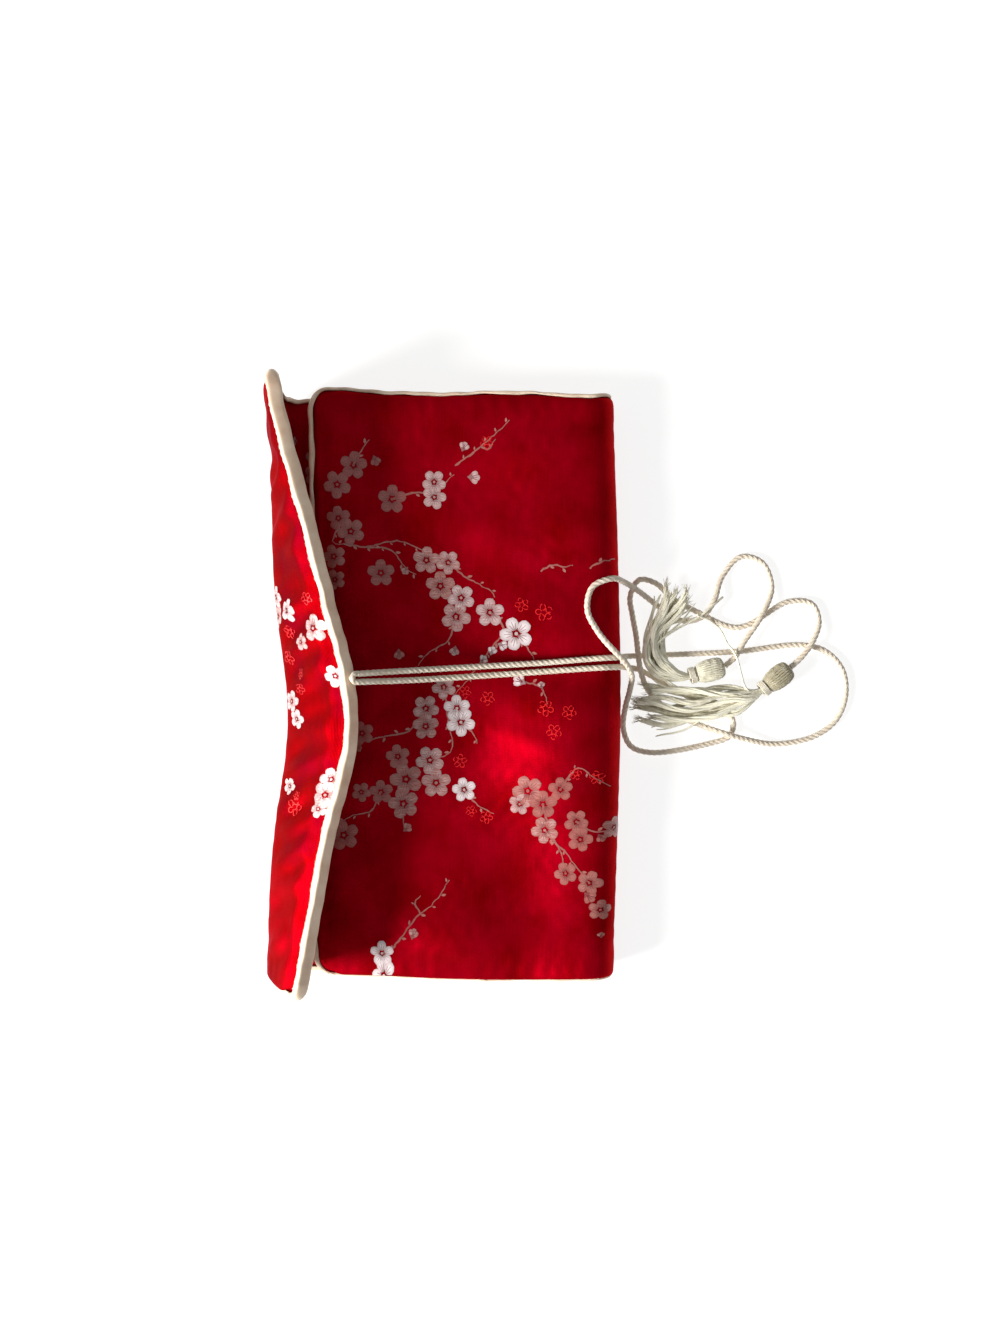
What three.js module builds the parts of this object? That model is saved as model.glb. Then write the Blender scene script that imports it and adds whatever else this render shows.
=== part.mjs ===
// Brocade jewelry roll, folded shut and tied with a doubled cord that ends in two tassels.
// Millimetres, +Z up. X runs across the roll, Y along it, and the roll lies on z = 0.
import * as THREE from "three";

// Padded panel: one sheet, folded under at the right and up into a flap at the left.
const SHEET_Y = 232.8;
const HALF_Y = SHEET_Y / 2;
const HALF_PAD = 3.0;
const HALF_EDGE = 1.5;
const EDGE_FLAT = 3.2;
const EDGE_RAMP = 6.8;
const CORNER_R = 7.0;
const FLAP_CORNER_R = 4.5;

// Heights of the middle line of the two lying panels.
const MIDDLE_Z = HALF_PAD;
const FRONT_Z = 17.0;
const RIGHT_FOLD_R = (FRONT_Z - MIDDLE_Z) / 2;
const LEFT_FOLD_R = 9.0;

// Places of the folds and free edges across the roll.
const FRONT_EDGE_X = -52.0;
const RIGHT_FOLD_X = 61.4;
const LEFT_FOLD_X = -58.4;
const FLAP_CLOTH = 49.5;
const FLAP_CURL = 0.16;

// The cord's pull on the left fold, and the flap's lean from upright along the roll.
const FOLD_PULL = 7.2;
const FLAP_LEAN = [
  [-1.0, 27],
  [-0.9, 32],
  [-0.82, 36.5],
  [-0.65, 41.5],
  [-0.37, 43],
  [-0.05, 44.5],
  [0.25, 43],
  [0.46, 35],
  [0.66, 22.7],
  [0.83, 13],
  [1.0, 4.5],
];

// The flap's ends spread a little, and the front panel's free edge lifts, sinks and turns down.
const FLAP_FLARE = 0.9;
const EDGE_LIFT = 7.0;
const EDGE_SINK = 4.6;
const PANEL_WAVE = 0.8;
const EDGE_DROOP = 5.0;
const EDGE_DIP = 1.2;

// Edge binding: a narrow satin channel over the sheet's edge.
const BIND_GAP = 0.35;
const BIND_LAP = 2.1;
const BIND_OUT = 1.1;
const BIND_HALF = 2.7;

// Slip pockets on the inner faces.
const POCKET_HALF_Y = 96;
const POCKET_T = 0.8;
const POCKET_GAP = 0.3;
const HEM_T = 1.5;

// Cord and tassels.
const CORD_D = 2.4;
const CORD_SIDES = 8;
const HEAD_LENGTH = 11.6;
const HEAD_R = 4.8;
const NECK_R = 2.5;
const TIE_WIDTH = 2.4;
const TIE_R = 3.4;
const JOINT_GAP = 0.3;

const BROCADE = "#a3001c";
const LINING = "#7d0012";
const IVORY = "#efe6d2";
const CREAM = "#ece4cc";

function smooth(a, b, x) {
  const t = Math.min(1, Math.max(0, (x - a) / (b - a)));
  return t * t * (3 - 2 * t);
}

function along(table, x) {
  let k = 0;
  while (k < table.length - 2 && x > table[k + 1][0]) k += 1;
  const [x0, y0] = table[k];
  const [x1, y1] = table[k + 1];
  return y0 + (y1 - y0) * Math.min(1, Math.max(0, (x - x0) / (x1 - x0)));
}

function rightFoldX(y) {
  return RIGHT_FOLD_X - 3.3 * Math.pow(Math.abs(y / HALF_Y), 1.5);
}

function leftFoldX(y) {
  const n = y / HALF_Y;
  const pull = FOLD_PULL * Math.exp(-Math.pow((n + 0.12) / 0.36, 2));
  return LEFT_FOLD_X + 0.9 * n + pull;
}

function flapLean(y) {
  const n = y / HALF_Y;
  const near = [-0.12, -0.06, 0, 0.06, 0.12];
  const sum = near.reduce((a, d) => a + along(FLAP_LEAN, n + d), 0);
  return THREE.MathUtils.degToRad(sum / near.length);
}

function flapLength(y) {
  const cloth = FLAP_CLOTH + leftFoldX(y) - LEFT_FOLD_X;
  return cloth - LEFT_FOLD_R * (Math.PI / 2 + flapLean(y) - FLAP_CURL);
}

// Rise and fall of the front panel: q runs from its free edge to the right fold.
function frontRise(q, y) {
  const n = y / HALF_Y;
  const free = Math.pow(1 - q, 1.6);
  const lift = EDGE_LIFT * smooth(0.35, 1, n) - EDGE_SINK * smooth(0.25, -0.9, n);
  const wave = PANEL_WAVE * Math.sin(Math.PI * q) * Math.sin(5.2 * n + 2.6 * q + 0.4);
  const droop = EDGE_DROOP * Math.pow(smooth(-0.8, -1.05, n), 1.2);
  const dip = EDGE_DIP * smooth(0.9, 1.02, n);
  const held = 1 - smooth(0.72, 1, q);
  return lift * free + wave - (droop + dip) * held;
}

// Middle surface of the sheet. w counts the five stretches from the front edge to the flap edge.
function surface(w, y) {
  const xr = rightFoldX(y);
  const xl = leftFoldX(y);
  if (w <= 1) {
    const x = FRONT_EDGE_X + (xr - FRONT_EDGE_X) * w;
    return new THREE.Vector3(x, y, FRONT_Z + frontRise(w, y));
  }
  if (w <= 2) {
    const a = Math.PI * (w - 1);
    const x = xr + RIGHT_FOLD_R * Math.sin(a);
    return new THREE.Vector3(x, y, MIDDLE_Z + RIGHT_FOLD_R * (1 + Math.cos(a)));
  }
  if (w <= 3) return new THREE.Vector3(xr + (xl - xr) * (w - 2), y, MIDDLE_Z);
  const lean = flapLean(y) - FLAP_CURL;
  const turn = (Math.PI / 2 + lean) * Math.min(1, w - 3);
  const x = xl - LEFT_FOLD_R * Math.sin(turn);
  const z = MIDDLE_Z + LEFT_FOLD_R * (1 - Math.cos(turn));
  if (w <= 4) return new THREE.Vector3(x, y, z);
  const run = flapLength(y) * (w - 4);
  const mid = lean + FLAP_CURL * (w - 4);
  const flare = FLAP_FLARE * Math.sign(y) * smooth(0.8, 1, Math.abs(y) / HALF_Y) * (w - 4);
  return new THREE.Vector3(x + run * Math.sin(mid), y + flare, z + run * Math.cos(mid));
}

function normal(w, y) {
  const e = 1e-3;
  const w0 = Math.max(0, w - e);
  const w1 = Math.min(5, w + e);
  const across = surface(w1, y).sub(surface(w0, y));
  const lengthways = surface(w, y + 0.5).sub(surface(w, y - 0.5));
  return across.cross(lengthways).normalize();
}

// Rows of the sheet: a stretch and a share, or a distance from a free edge.
const CORNER_STEPS = [0, 0.076, 0.293, 0.617, 1, 1.5];
const rows = [];
for (const d of CORNER_STEPS) rows.push({ front: d * CORNER_R });
for (let k = 1; k <= 9; k += 1) rows.push({ w: 0.11 + (0.89 * k) / 9 });
for (let k = 1; k <= 7; k += 1) rows.push({ w: 1 + k / 7 });
for (let k = 1; k <= 6; k += 1) rows.push({ w: 2 + k / 6 });
for (let k = 1; k <= 6; k += 1) rows.push({ w: 3 + k / 6 });
rows.push({ w: 4.3 });
rows.push({ flap: EDGE_FLAT + EDGE_RAMP + 0.5 });
for (const d of [...CORNER_STEPS].reverse()) rows.push({ flap: d * FLAP_CORNER_R });

function rowAt(row, y) {
  if (row.front !== undefined) return row.front / (rightFoldX(y) - FRONT_EDGE_X);
  if (row.flap !== undefined) return 5 - row.flap / flapLength(y);
  return row.w;
}

function cornerRadius(row) {
  return row.flap !== undefined ? FLAP_CORNER_R : CORNER_R;
}

function endDistance(row) {
  if (row.front !== undefined) return row.front;
  return row.flap !== undefined ? row.flap : 99;
}

// Half width of a row, less where the corner is rounded.
function halfWidth(row) {
  const d = endDistance(row);
  const r = cornerRadius(row);
  if (d >= r) return HALF_Y;
  return HALF_Y - r + Math.sqrt(r ** 2 - (r - d) ** 2);
}

const columns = [-1, -1 + 3.2 / HALF_Y, -1 + 10 / HALF_Y, -0.86];
for (let k = 1; k <= 14; k += 1) columns.push(-0.914 + (1.828 * k) / 15);
columns.push(1 - 10 / HALF_Y, 1 - 3.2 / HALF_Y, 1);

// Distance of a place on the sheet from the sheet's rounded outline.
function edgeDistance(row, y) {
  const d = endDistance(row);
  const r = cornerRadius(row);
  const side = HALF_Y - Math.abs(y);
  if (d < r && side < r) return r - Math.hypot(r - d, r - side);
  return Math.min(d, side);
}

function halfThickness(row, y) {
  const d = edgeDistance(row, y);
  return HALF_EDGE + (HALF_PAD - HALF_EDGE) * smooth(EDGE_FLAT, EDGE_FLAT + EDGE_RAMP, d);
}

// A closed body between two offset surfaces over a grid of nr by nc places.
function shell(nr, nc, place) {
  const points = [];
  for (const side of [1, -1]) {
    for (let i = 0; i < nr; i += 1) {
      for (let j = 0; j < nc; j += 1) points.push(place(i, j, side));
    }
  }
  const at = (i, j, s) => s * nr * nc + i * nc + j;
  const index = [];
  const quad = (a, b, c, d) => index.push(a, b, c, a, c, d);
  for (let i = 0; i < nr - 1; i += 1) {
    for (let j = 0; j < nc - 1; j += 1) {
      quad(at(i, j, 0), at(i + 1, j, 0), at(i + 1, j + 1, 0), at(i, j + 1, 0));
      quad(at(i, j, 1), at(i, j + 1, 1), at(i + 1, j + 1, 1), at(i + 1, j, 1));
    }
  }
  for (let i = 0; i < nr - 1; i += 1) {
    quad(at(i, 0, 0), at(i, 0, 1), at(i + 1, 0, 1), at(i + 1, 0, 0));
    quad(at(i, nc - 1, 0), at(i + 1, nc - 1, 0), at(i + 1, nc - 1, 1), at(i, nc - 1, 1));
  }
  for (let j = 0; j < nc - 1; j += 1) {
    quad(at(0, j, 0), at(0, j + 1, 0), at(0, j + 1, 1), at(0, j, 1));
    quad(at(nr - 1, j, 0), at(nr - 1, j, 1), at(nr - 1, j + 1, 1), at(nr - 1, j + 1, 0));
  }
  return bodyOf(points, index);
}

function bodyOf(points, index) {
  const flat = new Float32Array(points.length * 3);
  points.forEach((p, k) => p.toArray(flat, k * 3));
  const geometry = new THREE.BufferGeometry();
  geometry.setAttribute("position", new THREE.BufferAttribute(flat, 3));
  geometry.setIndex(index);
  geometry.computeVertexNormals();
  return geometry;
}

function paddedPanel() {
  return shell(rows.length, columns.length, (i, j, side) => {
    const y = columns[j] * halfWidth(rows[i]);
    const w = rowAt(rows[i], y);
    const h = halfThickness(rows[i], y);
    return surface(w, y).addScaledVector(normal(w, y), side * h);
  });
}

// Places round the sheet's outline, in order, with the outward way in the sheet.
function outline() {
  const last = rows.length - 1;
  const right = columns.length - 1;
  const order = [];
  for (let j = 0; j <= right; j += 1) order.push([0, j]);
  for (let i = 1; i <= last; i += 1) order.push([i, right]);
  for (let j = right - 1; j >= 0; j -= 1) order.push([last, j]);
  for (let i = last - 1; i > 0; i -= 1) order.push([i, 0]);
  return order.map(([i, j]) => {
    const row = rows[i];
    const y = columns[j] * halfWidth(row);
    const w = rowAt(row, y);
    const r = cornerRadius(row);
    const d = Math.min(r, endDistance(row));
    const side = Math.min(r, HALF_Y - Math.abs(y));
    const toEnd = (r - d) * (row.front !== undefined ? -1 : 1);
    const toSide = (r - side) * Math.sign(y);
    const up = normal(w, y);
    const lengthways = surface(w, y + 0.5).sub(surface(w, y - 0.5)).normalize();
    const across = lengthways.clone().cross(up).normalize();
    const out = across.multiplyScalar(toEnd).addScaledVector(lengthways, toSide);
    return { p: surface(w, y), up, out: out.normalize() };
  });
}

// Channel section: outward from the sheet's edge, and above its middle line.
const CHANNEL = [
  [-BIND_LAP, BIND_HALF - 0.15],
  [-0.9, BIND_HALF],
  [0.5, 2.0],
  [BIND_OUT, 0],
  [0.5, -2.0],
  [-0.9, -BIND_HALF],
  [-BIND_LAP, -BIND_HALF + 0.15],
  [-BIND_LAP, -HALF_EDGE - BIND_GAP],
  [BIND_GAP, -HALF_EDGE - BIND_GAP],
  [BIND_GAP, HALF_EDGE + BIND_GAP],
  [-BIND_LAP, HALF_EDGE + BIND_GAP],
];

function edgeBinding() {
  const stations = outline();
  const n = CHANNEL.length;
  const points = [];
  for (const s of stations) {
    for (const [o, h] of CHANNEL) {
      points.push(s.p.clone().addScaledVector(s.out, o).addScaledVector(s.up, h));
    }
  }
  const index = [];
  for (let i = 0; i < stations.length; i += 1) {
    const k = (i + 1) % stations.length;
    for (let j = 0; j < n; j += 1) {
      const m = (j + 1) % n;
      index.push(i * n + j, k * n + m, i * n + m, i * n + j, k * n + j, k * n + m);
    }
  }
  return bodyOf(points, index);
}

// A slip pocket on the sheet's inner face: its open edge, at the last row, has a rolled hem.
function pocket(w0, w1) {
  const across = [0, 0.25, 0.5, 0.75, 0.93, 0.955, 1];
  const down = 9;
  return shell(across.length, down, (i, j, side) => {
    const w = w0 + (w1 - w0) * across[i];
    const y = Math.sign(w1 - w0) * POCKET_HALF_Y * ((2 * j) / (down - 1) - 1);
    const thick = i > 4 ? HEM_T : POCKET_T;
    const off = HALF_PAD + POCKET_GAP + (side > 0 ? 0 : thick);
    return surface(w, y).addScaledVector(normal(w, y), -off);
  });
}

// A cord's centre line, which steps from one chosen point to the next.
class Route extends THREE.CatmullRomCurve3 {
  getPointAt(u, target) {
    return this.getPoint(u, target);
  }
  getTangentAt(u, target) {
    return this.getTangent(u, target);
  }
}

function tube(points, diameter, steps) {
  const section = new THREE.Shape();
  for (let k = 0; k < CORD_SIDES; k += 1) {
    const a = (2 * Math.PI * k) / CORD_SIDES;
    const x = (diameter / 2) * Math.cos(a);
    const y = (diameter / 2) * Math.sin(a);
    if (k === 0) section.moveTo(x, y);
    else section.lineTo(x, y);
  }
  section.closePath();
  const path = new Route(points.map((p) => new THREE.Vector3(...p)));
  const geometry = new THREE.ExtrudeGeometry(section, {
    steps,
    bevelEnabled: false,
    extrudePath: path,
  });
  return geometry;
}

// The upper strand: across the front panel, a wide loop on the table, then to the outer tassel.
const UPPER_ROUTE = [
  [-31.3, 4.8, 44.05],
  [-12.5, 6, 34.2],
  [13, 7.5, 26],
  [38.5, 9, 22.4],
  [57, 10.5, 21.8],
  [64.4, 11, 21.3],
  [69.7, 11.2, 18.3],
  [72.8, 11.5, 13],
  [75, 11.8, 2.9],
  [79.5, 12, 1.4],
  [120.5, 13.8, 1.4],
  [147, 16.5, 1.4],
  [157, 14, 1.4],
  [164, 6.5, 1.4],
  [165.5, -4, 1.4],
  [161.5, -14.5, 1.4],
  [152, -21.5, 1.4],
  [136, -24.5, 1.4],
  [122, -22, 3.3],
  [115, -20, 4.4],
  [106, -17, 2.4],
  [97, -13, 1.4],
  [88.5, -7.5, 1.5],
  [83, -1.3, 3],
  [80.3, 5.7, 4.3],
  [79.3, 12.3, 4.3],
  [78.7, 20, 2.2],
  [77.2, 29, 1.4],
  [76.3, 36.5, 1.4],
  [80, 43.4, 1.4],
  [87, 42, 1.4],
  [94, 35.5, 1.4],
  [103.5, 30.5, 1.4],
  [121, 23.8, 1.4],
  [142, 34.5, 1.4],
  [151.5, 33.5, 1.5],
  [154.3, 26, 2],
  [151, 17.7, 4.3],
  [146.2, 11.4, 5],
  [141.8, 7.2, 5],
];

// The lower strand: round under the tassels, up over the roll's fold in a loop, then to the inner tassel.
const LOWER_ROUTE = [
  [-31.3, 1.8, 44.05],
  [-12.5, 2.3, 34.2],
  [13, 3.8, 26],
  [38.5, 5.5, 22.4],
  [57, 6.8, 21.8],
  [64.4, 7.2, 21.3],
  [69.7, 7.4, 18.3],
  [72.8, 7.4, 13],
  [75, 7.2, 2.9],
  [79.5, 6.4, 1.4],
  [99, -4.3, 1.4],
  [118.5, -14, 1.4],
  [117.5, -21, 1.4],
  [108, -24.6, 1.4],
  [84.5, -28, 1.4],
  [76.5, -25.3, 1.4],
  [73.4, -18, 1.7],
  [73.9, -9.5, 4],
  [75.2, -2, 9.3],
  [75.2, 4.2, 15.8],
  [71.6, 9.8, 21.1],
  [66.2, 15, 23.6],
  [61.2, 21.3, 21.9],
  [57, 30, 21.7],
  [59, 39, 21.7],
  [66.8, 42.5, 20.6],
  [72.6, 41.5, 13.8],
  [80.5, 37.8, 4.3],
  [88, 32.5, 1.6],
  [98, 26.5, 1.9],
  [105.5, 28, 4.3],
  [110.5, 34.5, 4],
  [114.5, 45, 1.4],
  [122, 53, 1.4],
  [131, 50.5, 1.4],
  [134.8, 40, 1.7],
  [130, 28.5, 4.5],
  [123, 18, 4.4],
  [119, 11.6, 5],
  [114.9, 7.8, 5],
];

// Where the doubled cord is sewn to the flap's edge.
const BIGHT = [
  [-31.6, 4.8, 44.2],
  [-32.3, 4.6, 44.55],
  [-32.75, 4.05, 44.75],
  [-32.95, 3.3, 44.85],
  [-32.75, 2.55, 44.75],
  [-32.3, 2.0, 44.55],
  [-31.6, 1.8, 44.2],
];

// Tassels: the head's top, its way, and the middle line, width and height of its skirt.
const TASSELS = {
  1: {
    top: [114.4, 7.6, 5.0],
    way: [-14.4, -4.0, -0.2],
    skirt: [
      [96.5, 3.7, 5.4, 2.9, 2.5],
      [92.4, 4.8, 6.0, 3.3, 2.9],
      [88.3, 7.4, 6.3, 3.8, 3.0],
      [85.8, 11.5, 6.3, 3.9, 3.0],
      [85.3, 16.5, 6.3, 3.9, 2.9],
      [86.5, 21.6, 6.2, 4.1, 2.9],
      [89.2, 26.6, 6.1, 4.7, 2.8],
      [92.4, 31.4, 6.0, 5.4, 2.6],
      [95, 36, 6.0, 6.2, 2.4],
      [96.3, 39.6, 6.0, 6.6, 2.1],
    ],
  },
  2: {
    top: [141.4, 6.9, 5.0],
    way: [-12.4, -9.8, -0.2],
    skirt: [
      [126.3, -4.2, 5.3, 3.2, 2.5],
      [122.3, -5.4, 5.8, 4.5, 2.8],
      [116.8, -6.3, 6.2, 6.2, 3.0],
      [110, -7.2, 6.3, 7.6, 3.0],
      [102.5, -7.6, 6.3, 8.0, 3.0],
      [94, -8.4, 6.4, 8.3, 2.9],
      [87, -8.6, 6.6, 8.5, 2.6],
      [81.5, -8.6, 6.8, 8.0, 2.3],
    ],
  },
};

const HEAD_PROFILE = [
  [0, 0],
  [2.2, 0.1],
  [3.7, 0.8],
  [4.5, 2.2],
  [HEAD_R, 4.6],
  [4.7, 7.2],
  [4.2, 9.6],
  [3.4, 11.1],
  [NECK_R, HEAD_LENGTH],
  [0, HEAD_LENGTH],
];

const TIE_PROFILE = [
  [NECK_R + JOINT_GAP, 0],
  [TIE_R, 0.35],
  [TIE_R + 0.15, TIE_WIDTH / 2],
  [TIE_R, TIE_WIDTH - 0.35],
  [NECK_R + JOINT_GAP, TIE_WIDTH],
  [NECK_R + JOINT_GAP, 0],
];

function turned(profile, sides, top, way, from) {
  const points = profile.map(([r, h]) => new THREE.Vector2(r, h + from));
  const geometry = new THREE.LatheGeometry(points, sides);
  const axis = new THREE.Vector3(...way).normalize();
  const turn = new THREE.Quaternion().setFromUnitVectors(new THREE.Vector3(0, 1, 0), axis);
  geometry.applyQuaternion(turn);
  geometry.translate(...top);
  return geometry;
}

// A skirt of yarn: a fluted bundle that leaves the neck and lies on the table.
function skirt(tassel) {
  const axis = new THREE.Vector3(...tassel.way).normalize();
  const start = new THREE.Vector3(...tassel.top);
  const neck = start.clone().addScaledVector(axis, HEAD_LENGTH + JOINT_GAP);
  const free = neck.clone().addScaledVector(axis, TIE_WIDTH + 0.6);
  const line = [
    { c: neck, a: NECK_R, b: NECK_R },
    { c: free, a: NECK_R, b: NECK_R },
  ];
  for (const [x, y, z, a, b] of tassel.skirt) {
    line.push({ c: new THREE.Vector3(x, y, z), a, b });
  }
  const sides = 20;
  const points = [];
  line.forEach((s, k) => {
    const from = line[Math.max(0, k - 1)].c;
    const to = line[Math.min(line.length - 1, k + 1)].c;
    const way = k < 2 ? axis.clone() : to.clone().sub(from).normalize();
    const across = new THREE.Vector3(0, 0, 1).cross(way).normalize();
    const up = way.clone().cross(across).normalize();
    const flute = k < 2 ? 0 : 0.11;
    for (let j = 0; j < sides; j += 1) {
      const t = (2 * Math.PI * j) / sides;
      const r = 1 + flute * (j % 2 ? -1 : 0);
      const p = s.c.clone();
      p.addScaledVector(across, s.a * r * Math.cos(t));
      p.addScaledVector(up, s.b * r * Math.sin(t));
      points.push(p);
    }
  });
  const n = line.length;
  const index = [];
  for (let i = 0; i < n - 1; i += 1) {
    for (let j = 0; j < sides; j += 1) {
      const m = (j + 1) % sides;
      const a = i * sides + j;
      const b = i * sides + m;
      index.push(a, b, b + sides, a, b + sides, a + sides);
    }
  }
  points.push(line[0].c.clone(), line[n - 1].c.clone());
  for (let j = 0; j < sides; j += 1) {
    const m = (j + 1) % sides;
    index.push(n * sides, m, j);
    index.push(n * sides + 1, (n - 1) * sides + j, (n - 1) * sides + m);
  }
  return bodyOf(points, index);
}

const part = new THREE.Group();
part.name = "jewelry_roll";

function add(name, geometry, colour, roughness) {
  const material = new THREE.MeshStandardMaterial({ color: colour, roughness, metalness: 0 });
  const mesh = new THREE.Mesh(geometry, material);
  mesh.name = name;
  part.add(mesh);
}

add("padded_panel", paddedPanel(), BROCADE, 0.45);
add("edge_binding", edgeBinding(), IVORY, 0.5);
add("middle_pocket", pocket(2.86, 2.16), LINING, 0.5);
add("front_pocket", pocket(0.2, 0.84), LINING, 0.5);
add("cord_bight", tube(BIGHT, CORD_D, BIGHT.length - 1), CREAM, 0.6);
add("cord_upper", tube(UPPER_ROUTE, CORD_D, UPPER_ROUTE.length - 1), CREAM, 0.6);
add("cord_lower", tube(LOWER_ROUTE, CORD_D, LOWER_ROUTE.length - 1), CREAM, 0.6);
for (const [number, tassel] of Object.entries(TASSELS)) {
  const { top, way } = tassel;
  const tieFrom = HEAD_LENGTH + 2 * JOINT_GAP;
  add(`tassel_${number}_head`, turned(HEAD_PROFILE, 14, top, way, 0), CREAM, 0.55);
  add(`tassel_${number}_tie`, turned(TIE_PROFILE, 14, top, way, tieFrom), IVORY, 0.55);
  add(`tassel_${number}_skirt`, skirt(tassel), CREAM, 0.6);
}

export default part;
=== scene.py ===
"""Brocade jewelry roll: a padded sheet folded in three, bound in satin, tied with a tasselled cord."""

import math

import bpy
import numpy as np
from bpy.props import FloatProperty, FloatVectorProperty, IntProperty, PointerProperty
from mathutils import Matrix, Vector


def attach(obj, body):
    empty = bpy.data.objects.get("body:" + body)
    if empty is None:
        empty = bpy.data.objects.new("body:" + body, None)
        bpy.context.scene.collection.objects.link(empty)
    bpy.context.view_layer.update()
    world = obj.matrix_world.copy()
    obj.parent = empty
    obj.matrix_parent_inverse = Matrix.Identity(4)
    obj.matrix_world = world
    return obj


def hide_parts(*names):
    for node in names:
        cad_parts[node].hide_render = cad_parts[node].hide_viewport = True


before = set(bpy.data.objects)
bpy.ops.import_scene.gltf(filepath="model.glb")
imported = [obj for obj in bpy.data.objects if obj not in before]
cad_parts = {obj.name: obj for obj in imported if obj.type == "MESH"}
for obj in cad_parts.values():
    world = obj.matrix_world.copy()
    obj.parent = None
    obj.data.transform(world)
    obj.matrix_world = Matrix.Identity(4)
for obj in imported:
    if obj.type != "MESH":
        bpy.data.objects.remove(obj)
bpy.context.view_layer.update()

bl_info = {
    "name": "Brocade jewelry roll",
    "version": (1, 0, 0),
    "blender": (4, 5, 0),
    "location": "View3D > Sidebar > Roll",
    "description": "Builds a folded brocade jewelry roll with its binding, cord and tassels",
    "category": "Add Mesh",
}

MM = 0.001
FULL_TURN = 2 * math.pi
UPRIGHT = (0.0, 0.0, 1.0)

# Padded sheet, in millimetres, as in the solid part.
HALF_Y = 116.4
HALF_PAD = 3.0
HALF_EDGE = 1.5
EDGE_FLAT = 3.2
EDGE_RAMP = 6.8
CORNER_R = 7.0
FLAP_CORNER_R = 4.5
MIDDLE_Z = HALF_PAD
FRONT_Z = 17.0
RIGHT_FOLD_R = (FRONT_Z - MIDDLE_Z) / 2
LEFT_FOLD_R = 9.0
FRONT_EDGE_X = -52.0
RIGHT_FOLD_X = 61.4
LEFT_FOLD_X = -58.4
FLAP_CLOTH = 49.5
FLAP_CURL = 0.16
FOLD_PULL = 7.2
FLAP_FLARE = 0.9
EDGE_LIFT = 7.0
EDGE_SINK = 4.6
PANEL_WAVE = 0.8
EDGE_DROOP = 5.0
EDGE_DIP = 1.2

# The right fold's ends draw in, and the left fold runs a little aslant. The cord pulls it in round a
# place along the roll, from -1 to 1.
FOLD_DRAW_IN = 3.3
FOLD_SLANT = 0.9
PULL_AT = -0.12
PULL_WIDTH = 0.36

# The flap's lean from upright in degrees, at places along the roll from -1 to 1.
LEAN_AT = (-1.0, -0.9, -0.82, -0.65, -0.37, -0.05, 0.25, 0.46, 0.66, 0.83, 1.0)
LEAN = (27.0, 32.0, 36.5, 41.5, 43.0, 44.5, 43.0, 35.0, 22.7, 13.0, 4.5)
LEAN_BLUR = (-0.12, -0.06, 0.0, 0.06, 0.12)

# Lengths of the five stretches of cloth: front, right fold, middle, left fold, flap.
RIGHT_FOLD_CLOTH = 22.0
LEFT_FOLD_CLOTH = 19.4
STRETCH = (
    RIGHT_FOLD_X - FRONT_EDGE_X,
    RIGHT_FOLD_CLOTH,
    RIGHT_FOLD_X - LEFT_FOLD_X,
    LEFT_FOLD_CLOTH,
    FLAP_CLOTH - LEFT_FOLD_CLOTH,
)
STRETCH_FROM = tuple(sum(STRETCH[:k]) for k in range(len(STRETCH)))
SHEET_LENGTH = sum(STRETCH)

# The cloth's UV map is in metres, and its inner face lies this far beside the outer one there.
INSIDE = 1.0

# The flap's stretch of the outer face in the cloth's coordinates, where the pattern has its own places.
FLAP_FROM = 262.0
FLAP_TO = 400.0

# Steps from the listed pattern to its repeat on the hidden faces: along the cloth and along the roll.
OUTER_REPEAT = (132.0, 61.0)
MIDDLE_REPEAT = (222.0, -34.0)
EDGE_REPEAT = (0.0, 40.0)
EDGE_REPEAT_TO = 18.0
MIDDLE_REPEAT_TO = 60.0

# Distances from the sheet's outline at which its mesh has rows and columns, and how many lie between.
EDGE_STEPS = (0.0, 0.7, 1.8, 3.2, 5.0, 7.0, 9.4, 11.8)
INNER_ROWS = (39, 12, 41, 11, 8)
INNER_COLUMNS = 79
FAR_INSIDE = 99.0

# Lowest that a modelled surface comes to the table.
TABLE_GAP = 0.02

# Soft forms of the padding: puckers beside the binding, unevenness of the front, creases on a stretch
# of the flap's cloth, the strip under the cord, and how far the padding bulges over each end's binding.
PUCKER = 0.12
PUCKER_REACH = 12.0
FRONT_UNEVEN = 0.5
CREASE = 1.3
CREASE_FROM = 269.0
CREASE_TO = 284.0
CORD_Y = 7.0
CORD_REACH = 9.0
TOP_BULGE = 2.9
LOW_BULGE = 4.2

# Behaviour of the quilted cloth as it settles, and how firmly the hidden faces hold their form.
CLOTH = {
    "quality": 6,
    "mass": 0.12,
    "tension_stiffness": 12.0,
    "compression_stiffness": 12.0,
    "shear_stiffness": 4.0,
    "bending_stiffness": 0.6,
    "tension_damping": 8.0,
    "compression_damping": 8.0,
    "shear_damping": 8.0,
    "air_damping": 2.0,
    "pin_stiffness": 1.0,
}
HOLD_LEVELS = 20
UNDER_HOLD = 0.8
INNER_HOLD = 0.9
INNER_SHARE = 0.1

# Stitches in metres: length and thickness.
BIND_STITCH = (0.0019, 0.00026)
POCKET_STITCH = (0.002, 0.0003)

# Slip pockets: half length along the roll, gap to the panel, cloth, hem and the stitches' spacing.
POCKET_HALF_Y = 96.0
POCKET_GAP = 0.32
POCKET_CLOTH = 0.62
POCKET_HEM = 0.55
POCKET_STITCH_STEP = 2.9

# Binding: half height, lap over the sheet and unevenness, and the spacing and height of its stitches.
BIND_HALF = 2.7
BIND_LAP = 2.3
LAP_UNEVEN = 0.35
BIND_UNEVEN = 0.25
BIND_STITCH_STEP = 3.1
BIND_STITCH_UP = 2.64

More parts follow.
